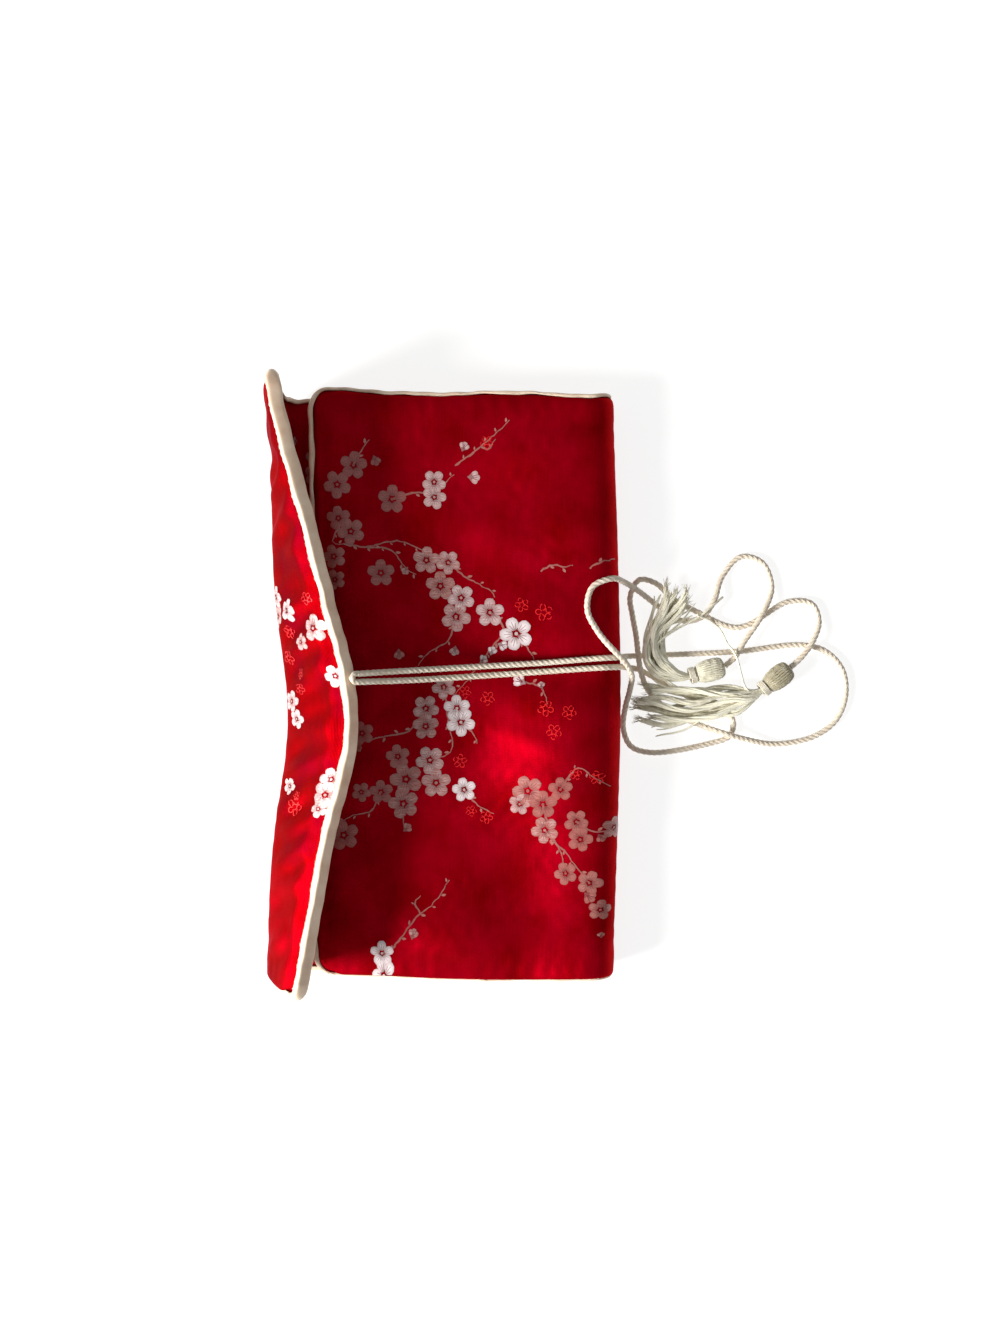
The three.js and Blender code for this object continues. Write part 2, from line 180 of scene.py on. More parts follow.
# Woven pattern: size of a motif for each unit of its listed width, and the twigs' half widths,
# height above the ground and share of silver.
MOTIF_SCALE = 1.16
TWIG_R = (0.4, 0.17)
TWIG_HEIGHT = 0.06
TWIG_SILVER = 0.22

# Tassels: length of a head, its strands, the neck's radius, and half thicknesses of a skirt's yarns.
HEAD_LENGTH = 11.6
HEAD_STRAND_R = 0.58
HEAD_STRAND_INSET = 0.55
HEAD_STRAND_PITCH = 5.0
NECK_R = 1.7
YARN_R = (0.46, 0.62)
STRAY_R = (0.3, 0.42)
LOOSE_R = 0.48
HAIRS = 3
HAIR_POINTS = 5
HAIR_R = (0.16, 0.08)

# Sampling of the cords' routes.
CORD_STEP = 0.5
CORD_SIDES = 15
BIGHT_STEP = 0.35
BIGHT_SIDES = 12

# Stage: the camera's place over the table and the lights' aim in metres, and the floor in millimetres.
CAMERA_OVER = (0.0224, 0.0076)
LIT_PLACE = (0.0, 0.0, 0.015)
FLOOR_HALF = 12000.0
FLOOR_Z = -0.26

# Routes of the cord's two strands, from the flap's edge to the tassel heads.
UPPER_ROUTE = (
    (-31.3, 4.8, 44.05),
    (-12.5, 6, 34.2),
    (13, 7.5, 26),
    (38.5, 9, 22.4),
    (57, 10.5, 21.8),
    (64.4, 11, 21.3),
    (69.7, 11.2, 18.3),
    (72.8, 11.5, 13),
    (75, 11.8, 2.9),
    (79.5, 12, 1.4),
    (120.5, 13.8, 1.4),
    (147, 16.5, 1.4),
    (157, 14, 1.4),
    (164, 6.5, 1.4),
    (165.5, -4, 1.4),
    (161.5, -14.5, 1.4),
    (152, -21.5, 1.4),
    (136, -24.5, 1.4),
    (122, -22, 3.3),
    (115, -20, 4.4),
    (106, -17, 2.4),
    (97, -13, 1.4),
    (88.5, -7.5, 1.5),
    (83, -1.3, 3),
    (80.3, 5.7, 4.3),
    (79.3, 12.3, 4.3),
    (78.7, 20, 2.2),
    (77.2, 29, 1.4),
    (76.3, 36.5, 1.4),
    (80, 43.4, 1.4),
    (87, 42, 1.4),
    (94, 35.5, 1.4),
    (103.5, 30.5, 1.4),
    (121, 23.8, 1.4),
    (142, 34.5, 1.4),
    (151.5, 33.5, 1.5),
    (154.3, 26, 2),
    (151, 17.7, 4.3),
    (146.2, 11.4, 5),
    (141.8, 7.2, 5),
)

LOWER_ROUTE = (
    (-31.3, 1.8, 44.05),
    (-12.5, 2.3, 34.2),
    (13, 3.8, 26),
    (38.5, 5.5, 22.4),
    (57, 6.8, 21.8),
    (64.4, 7.2, 21.3),
    (69.7, 7.4, 18.3),
    (72.8, 7.4, 13),
    (75, 7.2, 2.9),
    (79.5, 6.4, 1.4),
    (99, -4.3, 1.4),
    (118.5, -14, 1.4),
    (117.5, -21, 1.4),
    (108, -24.6, 1.4),
    (84.5, -28, 1.4),
    (76.5, -25.3, 1.4),
    (73.4, -18, 1.7),
    (73.9, -9.5, 4),
    (75.2, -2, 9.3),
    (75.2, 4.2, 15.8),
    (71.6, 9.8, 21.1),
    (66.2, 15, 23.6),
    (61.2, 21.3, 21.9),
    (57, 30, 21.7),
    (59, 39, 21.7),
    (66.8, 42.5, 20.6),
    (72.6, 41.5, 13.8),
    (80.5, 37.8, 4.3),
    (88, 32.5, 1.6),
    (98, 26.5, 1.9),
    (105.5, 28, 4.3),
    (110.5, 34.5, 4),
    (114.5, 45, 1.4),
    (122, 53, 1.4),
    (131, 50.5, 1.4),
    (134.8, 40, 1.7),
    (130, 28.5, 4.5),
    (123, 18, 4.4),
    (119, 11.6, 5),
    (114.9, 7.8, 5),
)

# The cord's bight, sewn to the flap's edge between the two strands.
BIGHT = (
    (-30.6, 4.85, 43.7),
    (-31.6, 4.8, 44.2),
    (-32.3, 4.6, 44.55),
    (-32.75, 4.05, 44.75),
    (-32.95, 3.3, 44.85),
    (-32.75, 2.55, 44.75),
    (-32.3, 2.0, 44.55),
    (-31.6, 1.8, 44.2),
    (-30.6, 1.8, 43.7),
)

# Tassels: head's top, head's way, the skirt's middle line with its half width and half height,
# and the route of one loose yarn that leaves the skirt for good.
TASSELS = {
    1: {
        "top": (114.4, 7.6, 5.0),
        "way": (-14.4, -4.0, -0.2),
        "skirt": (
            (96.5, 3.7, 5.4, 2.9, 2.5),
            (92.4, 4.8, 6.0, 3.3, 2.9),
            (88.3, 7.4, 6.3, 3.8, 3.0),
            (85.8, 11.5, 6.3, 3.9, 3.0),
            (85.3, 16.5, 6.3, 3.9, 2.9),
            (86.5, 21.6, 6.2, 4.1, 2.9),
            (89.2, 26.6, 6.1, 4.7, 2.8),
            (92.4, 31.4, 6.0, 5.4, 2.6),
            (95, 36, 6.0, 6.2, 2.4),
            (96.3, 39.6, 6.0, 6.6, 2.1),
        ),
        "loose": (
            (86.5, 17.0, 7.5),
            (91.5, 21.0, 8.0),
            (97.0, 24.2, 6.6),
            (102.7, 27.2, 6.4),
            (108.5, 31.5, 6.2),
            (114.4, 36.3, 2.6),
        ),
    },
    2: {
        "top": (141.4, 6.9, 5.0),
        "way": (-12.4, -9.8, -0.2),
        "skirt": (
            (126.3, -4.2, 5.3, 3.2, 2.5),
            (122.3, -5.4, 5.8, 4.5, 2.8),
            (116.8, -6.3, 6.2, 6.2, 3.0),
            (110, -7.2, 6.3, 7.6, 3.0),
            (102.5, -7.6, 6.3, 8.0, 3.0),
            (94, -8.2, 6.4, 8.6, 2.9),
            (87, -7.8, 6.6, 9.2, 2.6),
            (81.5, -7.2, 6.8, 9.6, 2.3),
            (77.5, -6.8, 6.8, 9.6, 2.1),
        ),
        "loose": (
            (127.5, -5.2, 6.0),
            (122.9, -0.9, 6.4),
            (120.6, 6.0, 7.4),
            (118.8, 12.3, 7.0),
            (116.0, 17.3, 3.6),
            (113.6, 22.8, 1.4),
            (109.0, 26.6, 3.2),
            (103.0, 28.6, 7.4),
        ),
    },
}

# Locks of yarn in a skirt: place across it, height in it, and tone, which is painted shade and light: the
# low locks are darker and most high ones lighter.
LOCKS = (
    (0.95, -0.4, 0.05),
    (0.5, -0.7, -0.2),
    (0.0, -0.7, -0.25),
    (-0.5, -0.7, -0.2),
    (-0.95, -0.4, -0.05),
    (0.72, 0.5, 0.3),
    (0.22, 0.75, 0.2),
    (-0.28, 0.75, -0.05),
    (-0.74, 0.5, 0.25),
)

# Single yarns that stray from a skirt: how far to its side, in half widths, and where they leave it.
STRAYS = (
    (1.3, 0.3),
    (0.8, 0.5),
    (-0.9, 0.35),
    (-1.4, 0.55),
    (0.6, 0.2),
    (-0.6, 0.45),
)

# Half outline of a tassel's head: radius and distance from its top.
HEAD_PROFILE = (
    (0.4, 0.0),
    (2.2, 0.1),
    (3.7, 0.8),
    (4.5, 2.2),
    (4.8, 4.6),
    (4.7, 7.2),
    (4.2, 9.6),
    (3.4, 11.1),
    (2.5, 11.8),
)

# Soft swells of the padding under the front panel: x, y, half length, half width, height and slant.
SWELLS = (
    (27.0, -72.0, 24.0, 26.0, -3.2, 0.0),
    (10.0, -106.0, 26.0, 10.0, 2.2, 0.0),
    (0.0, -101.0, 60.0, 17.0, 1.6, 0.0),
    (12.0, -24.0, 17.0, 24.0, -1.8, 0.0),
    (54.0, -22.0, 28.0, 26.0, 6.0, 0.05),
    (34.0, -22.0, 16.0, 4.5, 0.8, -0.35),
    (46.0, -40.0, 16.0, 4.5, 0.8, -0.3),
    (52.0, -58.0, 16.0, 5.0, 0.8, -0.3),
    (51.0, -82.0, 13.0, 8.0, 0.8, 0.2),
    (44.0, 24.0, 24.0, 11.0, 1.7, -0.1),
    (5.0, 46.0, 18.0, 34.0, -1.6, 0.0),
    (20.0, 59.0, 14.0, 10.0, 1.0, 0.0),
    (-2.0, 70.0, 18.0, 11.0, 1.2, -0.2),
    (58.0, 60.0, 18.0, 11.0, 1.6, 0.15),
    (36.0, 93.0, 26.0, 9.0, 1.5, 0.1),
)

# How far the front panel's ends stand out from a straight line, from its free edge to the fold.
END_AT = (0.0, 0.1, 0.25, 0.45, 0.65, 0.8, 1.0, 1.4)
TOP_END = (0.0, 0.4, -0.8, -1.2, -0.2, -0.3, -1.4, 0.0)
LOW_END = (0.0, 0.1, 0.2, 1.1, 1.5, 1.2, 0.2, 0.0)

# Woven blossoms on the front panel: x, y, width, and for some a higher share of silver, a painted highlight
# where the blossom catches the light.
BLOSSOMS = (
    (-35.6, 87.3, 9.9),
    (-42.0, 79.7, 9.9),
    (-41.6, 66.6, 8.7),
    (-36.8, 61.4, 9.9),
    (-20.5, 74.1, 10.3),
    (-3.8, 80.9, 8.7, 0.5),
    (-3.8, 74.9, 8.7, 0.5),
    (-43.5, 51.3, 8.7),
    (-43.0, 42.0, 7.6),
    (-24.9, 44.7, 9.9),
    (-7.0, 49.9, 9.9),
    (1.7, 49.1, 8.7),
    (-1.4, 39.6, 10.7),
    (6.9, 34.8, 9.9),
    (4.9, 27.3, 10.7),
    (18.4, 28.9, 10.3),
    (28.8, 20.5, 11.9, 0.95),
    (5.3, -8.9, 9.5, 0.9),
    (6.9, -14.4, 10.3, 1.0),
    (-7.0, -8.9, 9.5),
    (-7.0, -16.0, 9.5),
    (0.2, -0.5, 8.7),
    (-32.4, -18.8, 8.7),
    (-18.1, -28.0, 8.7),
    (-5.4, -29.5, 10.3),
    (-14.9, -37.1, 11.9),
    (-3.0, -38.7, 10.7),
    (-24.9, -42.3, 8.7),
    (-32.8, -42.3, 7.2),
    (-16.1, -47.0, 11.1),
    (-40.0, -59.7, 11.1),
    (8.1, -41.5, 8.7, 0.9),
    (33.5, -41.5, 11.1),
    (30.3, -47.0, 7.9),
    (39.5, -47.0, 10.3),
    (46.2, -40.7, 8.7),
    (40.3, -57.4, 9.9),
    (52.6, -53.8, 8.7),
    (54.2, -60.9, 9.1),
    (66.1, -56.6, 7.9),
    (48.6, -74.8, 8.3),
    (57.8, -78.4, 8.7),
    (61.3, -89.1, 7.2),
    (-24.5, -105.8, 8.7, 0.9),
    (-24.1, -112.6, 8.7, 0.9),
)

# Half-open blossoms and buds seen from the side, in the same way.
SIDE_BLOSSOMS = (
    (-27.3, 90.0, 6.0),
    (10.9, 82.9, 7.2, 0.5),
    (-14.9, 46.3, 4.8),
    (22.6, 16.2, 5.6, 0.9),
    (19.0, 13.0, 5.2, 0.9),
    (15.2, 9.8, 5.0, 0.85),
    (4.5, 14.6, 5.6),
    (-17.7, 13.4, 6.0),
    (31.1, 1.4, 7.6, 0.9),
    (-34.8, -24.8, 4.8),
    (-15.3, -57.4, 5.6),
    (61.3, -59.7, 4.8),
    (57.0, -83.2, 7.2),
    (-12.2, -99.1, 5.6),
    (7.7, 94.0, 5.8, 0.5),
    (38.7, -0.5, 4.2, 0.5),
    (61.3, -99.5, 3.2),
)

# Red blossoms woven tone on tone, in outline: x, y and width.
OUTLINES = (
    (31.1, 32.0, 6.4),
    (39.9, 28.9, 7.9),
    (40.3, -8.9, 7.2),
    (49.4, -10.5, 6.4),
    (43.5, -18.0, 6.8),
    (17.0, 96.5, 6.0),
    (8.5, -2.5, 5.6),
    (17.5, -5.0, 6.4),
    (17.0, -52.5, 6.0),
    (6.5, -30.0, 6.4),
    (11.0, -50.0, 5.0),
    (60.0, -36.0, 6.0),
    (52.0, -34.5, 5.4),
)

# Twigs as chains of places on the front panel.
TWIGS = (
    ((4.5, 87.3), (14.5, 94.8), (26.0, 105.1)),
    ((14.5, 94.8), (18.0, 94.0), (20.5, 98.0)),
    ((-40.0, 56.3), (-30.8, 55.1), (-20.9, 53.9), (-14.9, 46.3), (-11.0, 44.0)),
    ((-30.8, 55.1), (-17.3, 57.5), (-7.4, 53.1)),
    ((-41.0, 64.0), (-44.0, 57.0), (-40.0, 56.3)),
    ((-35.6, 87.3), (-32.0, 94.0), (-29.5, 97.5)),
    ((-20.5, 74.1), (-12.0, 76.5), (-3.8, 77.5), (4.0, 84.0)),
    ((1.7, 49.1), (9.0, 43.0), (18.0, 38.0), (20.5, 35.0)),
    ((18.4, 28.9), (24.0, 22.5), (19.0, 15.0), (10.0, 3.0), (4.0, -4.0)),
    ((4.9, 27.3), (2.0, 18.0), (-6.0, 13.0), (-10.0, 8.0)),
    ((28.8, 20.5), (34.0, 14.0), (36.5, 9.0)),
    ((38.7, 45.5), (44.0, 48.2), (47.5, 46.9), (51.5, 48.0)),
    ((58.0, 46.5), (62.0, 49.2), (66.9, 50.6)),
    ((31.1, 1.4), (38.7, -0.5), (41.0, -7.5)),
    ((-7.0, -8.9), (-14.0, -18.0), (-26.0, -20.5), (-38.0, -24.0)),
    ((0.2, -0.5), (2.0, -14.0), (3.0, -26.0), (-5.4, -29.5)),
    ((6.9, -14.4), (12.0, -19.5), (13.5, -23.0)),
    ((-24.9, -42.3), (-29.0, -50.0), (-37.0, -52.0), (-42.0, -55.5)),
    ((-16.1, -47.0), (-16.5, -52.0), (-15.3, -57.4)),
    ((8.1, -41.5), (14.0, -48.0), (20.0, -51.0)),
    ((39.5, -47.0), (43.9, -61.3), (48.6, -66.1), (53.0, -72.5), (57.8, -78.4)),
    ((52.6, -53.8), (60.0, -58.0), (66.0, -57.0)),
    ((40.3, -57.4), (46.0, -65.0), (48.6, -74.8)),
    ((46.2, -40.7), (53.0, -32.0), (58.0, -35.0), (64.0, -40.0)),
    ((-24.5, -105.8), (-20.9, -104.2), (-9.4, -91.1), (-5.0, -88.0), (2.5, -77.6)),
    ((-9.4, -91.1), (-11.5, -86.5), (-9.0, -84.0)),
)

# Blossoms on the flap's outer face: distance along the cloth from the front edge, y and width.
FLAP_BLOSSOMS = (
    (284.4, 30.0, 8.2),
    (296.9, 22.5, 9.5),
    (288.6, 17.5, 6.0),
    (300.9, 4.0, 7.5),
    (274.6, 35.5, 8.2),
    (273.3, 28.0, 8.6),
    (277.1, -6.0, 8.0),
    (280.1, -13.0, 7.2),
    (300.7, -35.0, 8.0),
    (299.9, -41.0, 9.2),
    (298.7, -46.5, 6.2),
    (278.4, -40.0, 6.2),
)

# Red outline blossoms on the flap, in the same way.
FLAP_OUTLINES = (
    (296.4, 34.0, 5.5),
    (280.4, 21.5, 6.2),
    (278.4, 11.5, 6.6),
    (283.6, 5.0, 4.7),
    (282.9, -1.0, 5.1),
    (284.4, -47.5, 8.0),
    (284.9, -43.0, 3.9),
)


def smooth(a, b, x):
    """Soft step from 0 at a to 1 at b."""
    t = np.clip((x - a) / (b - a), 0.0, 1.0)
    return t * t * (3.0 - 2.0 * t)


def unit(v):
    """Vectors of length one."""
    return v / np.maximum(np.linalg.norm(v, axis=-1, keepdims=True), 1e-12)


def noise_wave(a, b, seed):
    """Smooth repeatable unevenness from a few crossing waves, about -1 to 1."""
    rng = np.random.default_rng(seed)
    total = np.zeros(np.broadcast(a, b).shape)
    for _ in range(7):
        way = rng.uniform(0, FULL_TURN)
        pitch = rng.uniform(0.6, 1.7)
        shift = rng.uniform(0, FULL_TURN)
        total = total + np.sin(pitch * (a * math.cos(way) + b * math.sin(way)) + shift)
    return total / 3.2


# The sheet's middle surface.


def right_fold_x(y):
    """Where the right fold starts; its ends draw in a little."""
    return RIGHT_FOLD_X - FOLD_DRAW_IN * np.abs(y / HALF_Y) ** 1.5


def left_fold_x(y):
    """Where the left fold starts; the cord pulls it in near the middle."""
    n = y / HALF_Y
    pull = FOLD_PULL * np.exp(-(((n - PULL_AT) / PULL_WIDTH) ** 2))
    return LEFT_FOLD_X + FOLD_SLANT * n + pull


def flap_lean(y):
    """The flap's lean from upright, in radians."""
    n = y / HALF_Y
    return np.radians(sum(np.interp(n + d, LEAN_AT, LEAN) for d in LEAN_BLUR) / len(LEAN_BLUR))


def flap_length(y):
    """Cloth of the flap beyond the left fold."""
    cloth = FLAP_CLOTH + left_fold_x(y) - LEFT_FOLD_X
    return cloth - LEFT_FOLD_R * (math.pi / 2 + flap_lean(y) - FLAP_CURL)


def front_rise(q, y):
    """Rise and fall of the front panel; q runs from its free edge to the right fold."""
    n = y / HALF_Y
    q = np.clip(q, 0.0, 1.0)
    free = (1.0 - q) ** 1.6
    lift = EDGE_LIFT * smooth(0.35, 1.0, n) - EDGE_SINK * smooth(0.25, -0.9, n)
    wave = PANEL_WAVE * np.sin(math.pi * q) * np.sin(5.2 * n + 2.6 * q + 0.4)
    droop = EDGE_DROOP * smooth(-0.8, -1.05, n) ** 1.2
    dip = EDGE_DIP * smooth(0.9, 1.02, n)
    held = 1.0 - smooth(0.72, 1.0, q)
    return lift * free + wave - (droop + dip) * held


def surface(w, y):
    """Middle surface of the sheet; w counts the five stretches from the front edge to the flap edge."""
    w, y = np.broadcast_arrays(np.asarray(w, float), np.asarray(y, float))
    xr, xl = right_fold_x(y), left_fold_x(y)
    turn_right = math.pi * (w - 1.0)
    lean = flap_lean(y) - FLAP_CURL
    turn_left = (math.pi / 2 + lean) * np.clip(w - 3.0, 0.0, 1.0)
    on_flap = np.clip(w - 4.0, 0.0, 1.0)
    run = flap_length(y) * on_flap
    mid = lean + FLAP_CURL * on_flap
    part = [w <= 1.0, w <= 2.0, w <= 3.0]
    x = np.select(
        part,
        [
            FRONT_EDGE_X + (xr - FRONT_EDGE_X) * w,
            xr + RIGHT_FOLD_R * np.sin(turn_right),
            xr + (xl - xr) * (w - 2.0),
        ],
        xl - LEFT_FOLD_R * np.sin(turn_left) + run * np.sin(mid),
    )
    z = np.select(
        part,
        [
            FRONT_Z + front_rise(w, y),
            MIDDLE_Z + RIGHT_FOLD_R * (1.0 + np.cos(turn_right)),
            np.full_like(w, MIDDLE_Z),
        ],
        MIDDLE_Z + LEFT_FOLD_R * (1.0 - np.cos(turn_left)) + run * np.cos(mid),
    )
    uneven = np.interp(w, END_AT, TOP_END) * (y > 0.0) + np.interp(w, END_AT, LOW_END) * (y < 0.0)
    end = np.sign(y) * smooth(0.8, 1.0, np.abs(y) / HALF_Y)
    return np.stack([x, y + (FLAP_FLARE * on_flap + uneven) * end, z], axis=-1)


def step_lengthways(w, y):
    """One millimetre along the roll, on the middle surface."""
    return surface(w, y + 0.5) - surface(w, y - 0.5)


def lengthways(w, y):
    """Way along the roll."""
    return unit(step_lengthways(w, y))


def face_normal(w, y):
    """Way to the sheet's outer face."""
    e = 1e-3
    across = surface(np.minimum(5.0, w + e), y) - surface(np.maximum(0.0, w - e), y)
    return unit(np.cross(across, step_lengthways(w, y)))


def cloth_place(w):
    """Distance along the flat cloth from the front edge."""
    k = np.clip(np.floor(w).astype(int), 0, 4)
    return np.take(STRETCH_FROM, k) + np.take(STRETCH, k) * (w - k)


def cloth_uv(w, y):
    """Places on the flat cloth in metres, for the outer face and then for the inner one beside it."""
    flat = np.stack([cloth_place(w).ravel() * MM, y.ravel() * MM], axis=1)
    return np.vstack([flat, flat + [INSIDE, 0.0]])


# Rows and columns of the sheet's mesh.


def sheet_rows():
    """Rows of the mesh, each a distance from a free edge or a place counted in stretches."""
    start = EDGE_STEPS[-1] / STRETCH[0]
    stop = 5.0 - EDGE_STEPS[-1] / STRETCH[4]
    marks = (start, 1.0, 2.0, 3.0, 4.0, stop)
    rows = [("front", d) for d in EDGE_STEPS]
    for low, high, count in zip(marks, marks[1:], INNER_ROWS):
        rows += [("w", w) for w in np.linspace(low, high, count)[1:]]
    # The first of the flap's own rows takes the last one's place.
    rows.pop()
    return rows + [("flap", d) for d in reversed(EDGE_STEPS)]


def sheet_columns():
    """Columns of the mesh along the roll, from -1 to 1."""
    edge = EDGE_STEPS[-1] / HALF_Y
    inner = np.linspace(-1.0 + edge, 1.0 - edge, INNER_COLUMNS)
    ends = np.array(EDGE_STEPS[:-1]) / HALF_Y
    return np.concatenate([-1.0 + ends, inner, (1.0 - ends)[::-1]])


def row_place(row, y):
    """A row's place counted in stretches, at each y."""
    kind, value = row
    if kind == "front":
        return value / (right_fold_x(y) - FRONT_EDGE_X)
    if kind == "flap":
        return 5.0 - value / flap_length(y)
    return np.full_like(y, value)


def end_distance(row):
    """A row's distance from its free edge."""
    return row[1] if row[0] != "w" else FAR_INSIDE


def corner_radius(row):
    """Radius of the corner that a row is next to."""
    return FLAP_CORNER_R if row[0] == "flap" else CORNER_R


def row_half_width(row):
    """Half of a row's length along the roll, shorter in the rounded corners."""
    d, r = end_distance(row), corner_radius(row)
    if d >= r:
        return HALF_Y
    return HALF_Y - r + math.sqrt(r**2 - (r - d) ** 2)


def sheet_grid():
    """Rows of the sheet, and w, y and the distance from the rounded outline as arrays."""
    rows, columns = sheet_rows(), sheet_columns()
    w = np.zeros((len(rows), len(columns)))
    y, d = np.zeros_like(w), np.zeros_like(w)
    for i, row in enumerate(rows):
        y[i] = columns * row_half_width(row)
        w[i] = row_place(row, y[i])
        end = end_distance(row)
        side = HALF_Y - np.abs(y[i])
        r = corner_radius(row)
        corner = r - np.hypot(r - end, r - side)
        d[i] = np.where((end < r) & (side < r), corner, np.minimum(end, side))
    return rows, w, y, d


def grid_faces(nr, nc):
    """Faces of a closed sheet whose outer and inner grids follow each other."""
    a = (np.arange(nr - 1)[:, None] * nc + np.arange(nc - 1)[None, :]).ravel()
    n = nr * nc
    outer = np.stack([a, a + nc, a + nc + 1, a + 1], axis=1)
    inner = np.stack([a, a + 1, a + nc + 1, a + nc], axis=1) + n
    i = np.arange(nr - 1) * nc
    low = np.stack([i, i + n, i + nc + n, i + nc], axis=1)
    k = i + nc - 1
    high = np.stack([k, k + nc, k + nc + n, k + n], axis=1)
    j = np.arange(nc - 1)
    first = np.stack([j, j + 1, j + 1 + n, j + n], axis=1)
    m = j + (nr - 1) * nc
    last = np.stack([m, m + n, m + 1 + n, m + 1], axis=1)
    return np.concatenate([outer, inner, low, high, first, last])


def tube_faces(rings, sides, closed=False):
    """Quads of a tube of rings; a closed one meets its first ring again."""
    faces = []
    for i in range(rings if closed else rings - 1):
        m = (i + 1) % rings
        for j in range(sides):
            q = (j + 1) % sides
            faces.append((i * sides + j, m * sides + j, m * sides + q, i * sides + q))
    return faces


# Pieces and their meshes.


def add_piece(name, points, faces, edges=()):
    """New mesh piece at the origin, from points in millimetres."""
    mesh = bpy.data.meshes.new(name)
    mesh.from_pydata((np.asarray(points) * MM).tolist(), list(edges), [list(map(int, f)) for f in faces])
    mesh.validate()
    mesh.shade_smooth()
    piece = bpy.data.objects.new(name, mesh)
    bpy.context.scene.collection.objects.link(piece)
    return piece


def set_uv(piece, name, values, faces=None):
    """UV map from one pair of numbers per vertex. Quads after the first faces all lie at one far place."""
    far_place = 9.0
    mesh = piece.data
    layer = mesh.uv_layers.new(name=name)
    corner = np.zeros(len(mesh.loops), dtype=np.int32)
    mesh.loops.foreach_get("vertex_index", corner)
    pairs = np.asarray(values, dtype=np.float32)[corner]
    if faces is not None:
        pairs[4 * faces :] = far_place
    layer.data.foreach_set("uv", pairs.ravel())


def set_numbers(piece, name, values, kind="FLOAT"):
    """Named attribute with one value per vertex."""
    layer = piece.data.attributes.new(name, kind, "POINT")
    key = "vector" if kind == "FLOAT_VECTOR" else "value"
    layer.data.foreach_set(key, np.asarray(values, dtype=np.float32).ravel())


def freeze(piece):
    """Turns a piece's modifiers into its own plain mesh."""
    graph = bpy.context.evaluated_depsgraph_get()
    mesh = bpy.data.meshes.new_from_object(piece.evaluated_get(graph), depsgraph=graph)
    mesh.name = piece.name
    piece.modifiers.clear()
    piece.data = mesh
    mesh.shade_smooth()


def refine(piece, levels):
    """Subdivides a piece's mesh."""
    if levels > 0:
        finer = piece.modifiers.new("finer", "SUBSURF")
        finer.levels = levels
        finer.render_levels = levels
    freeze(piece)


def take(name):
    """A piece that was made before."""
    piece = bpy.data.objects.get(name)
    if piece is None:
        raise RuntimeError(f"make {name} first")
    return piece


def paint(piece, material):
    """Gives a piece its one material."""
    piece.data.materials.clear()
    piece.data.materials.append(material)


def declare(piece, slot, *nodes):
    """Hangs a piece on the root body and hides the solids that it stands for; its slot is not used."""
    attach(piece, "root")
    if nodes:
        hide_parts(*nodes)


# Materials.


class Shader:
    """Small helper that lays out a material's nodes."""

    # Places of the colour sockets on a Mix node.
    MIX_FACTOR, MIX_A, MIX_B, MIX_RESULT = 0, 6, 7, 2

    def __init__(self, name):
        self.material = bpy.data.materials.new(name)
        self.material.use_nodes = True
        self.tree = self.material.node_tree
        self.surface = self.tree.nodes["Principled BSDF"]

    def add(self, kind, **settings):
        node = self.tree.nodes.new(kind)
        for key, value in settings.items():
            setattr(node, key, value)
        return node

    def join(self, a, b):
        self.tree.links.new(a, b)

    def math(self, operation, a, b=None):
        node = self.add("ShaderNodeMath", operation=operation)
        for socket, item in zip(node.inputs, (a, b)):
            if item is None:
                continue
            if isinstance(item, (int, float)):
                socket.default_value = item
            else:
                self.join(item, socket)
        return node.outputs[0]

    def plus(self, a, b):
        return self.math("ADD", a, b)

    def times(self, a, b):
        return self.math("MULTIPLY", a, b)

    def stripes(self, coordinate, per_unit):
        """Wave with so many ridges in each unit of a coordinate."""
        return self.math("SINE", self.times(coordinate, per_unit * FULL_TURN))

    def ramp(self, factor, *stops):
        """Colours that follow a value, each at its place from 0 to 1."""
        node = self.add("ShaderNodeValToRGB")
        elements = node.color_ramp.elements
        while len(elements) < len(stops):
            elements.new(0.5)
        for element, (place, tone) in zip(elements, stops):
            element.position = place
            element.color = (*tone, 1.0)
        self.join(factor, node.inputs[0])
        return node.outputs[0]

    def noise(self, vector, scale, detail):
        node = self.add("ShaderNodeTexNoise")
        node.inputs["Scale"].default_value = scale
        node.inputs["Detail"].default_value = detail
        self.join(vector, node.inputs["Vector"])
        return node.outputs["Fac"]

    def rise(self, value, low, high):
        """Soft step from 0 to 1 between two values."""
        node = self.add("ShaderNodeMapRange", interpolation_type="SMOOTHSTEP")
        node.inputs["From Min"].default_value = low
        node.inputs["From Max"].default_value = high
        self.join(value, node.inputs["Value"])
        return node.outputs["Result"]

    def scaled(self, vector, scale):
        """Coordinates stretched by three factors."""
        node = self.add("ShaderNodeMapping")
        node.inputs["Scale"].default_value = scale
        self.join(vector, node.inputs["Vector"])
        return node.outputs["Vector"]

    def split(self, vector):
        node = self.add("ShaderNodeSeparateXYZ")
        self.join(vector, node.inputs[0])
        return node.outputs

    def uv(self, name):
        return self.add("ShaderNodeUVMap", uv_map=name).outputs["UV"]

    def attribute(self, name):
        return self.add("ShaderNodeAttribute", attribute_name=name).outputs["Fac"]

    def object_place(self):
        return self.add("ShaderNodeTexCoord").outputs["Object"]

    def colour(self, output):
        self.join(output, self.surface.inputs["Base Color"])

    def bump(self, height, distance, strength):
        node = self.add("ShaderNodeBump")
        node.inputs["Strength"].default_value = strength
        node.inputs["Distance"].default_value = distance
        self.join(height, node.inputs["Height"])
        self.join(node.outputs["Normal"], self.surface.inputs["Normal"])

    def set(self, **values):
        """Plain values on the shader's own sockets."""
        for key, value in values.items():
            self.surface.inputs[key.replace("_", " ")].default_value = value


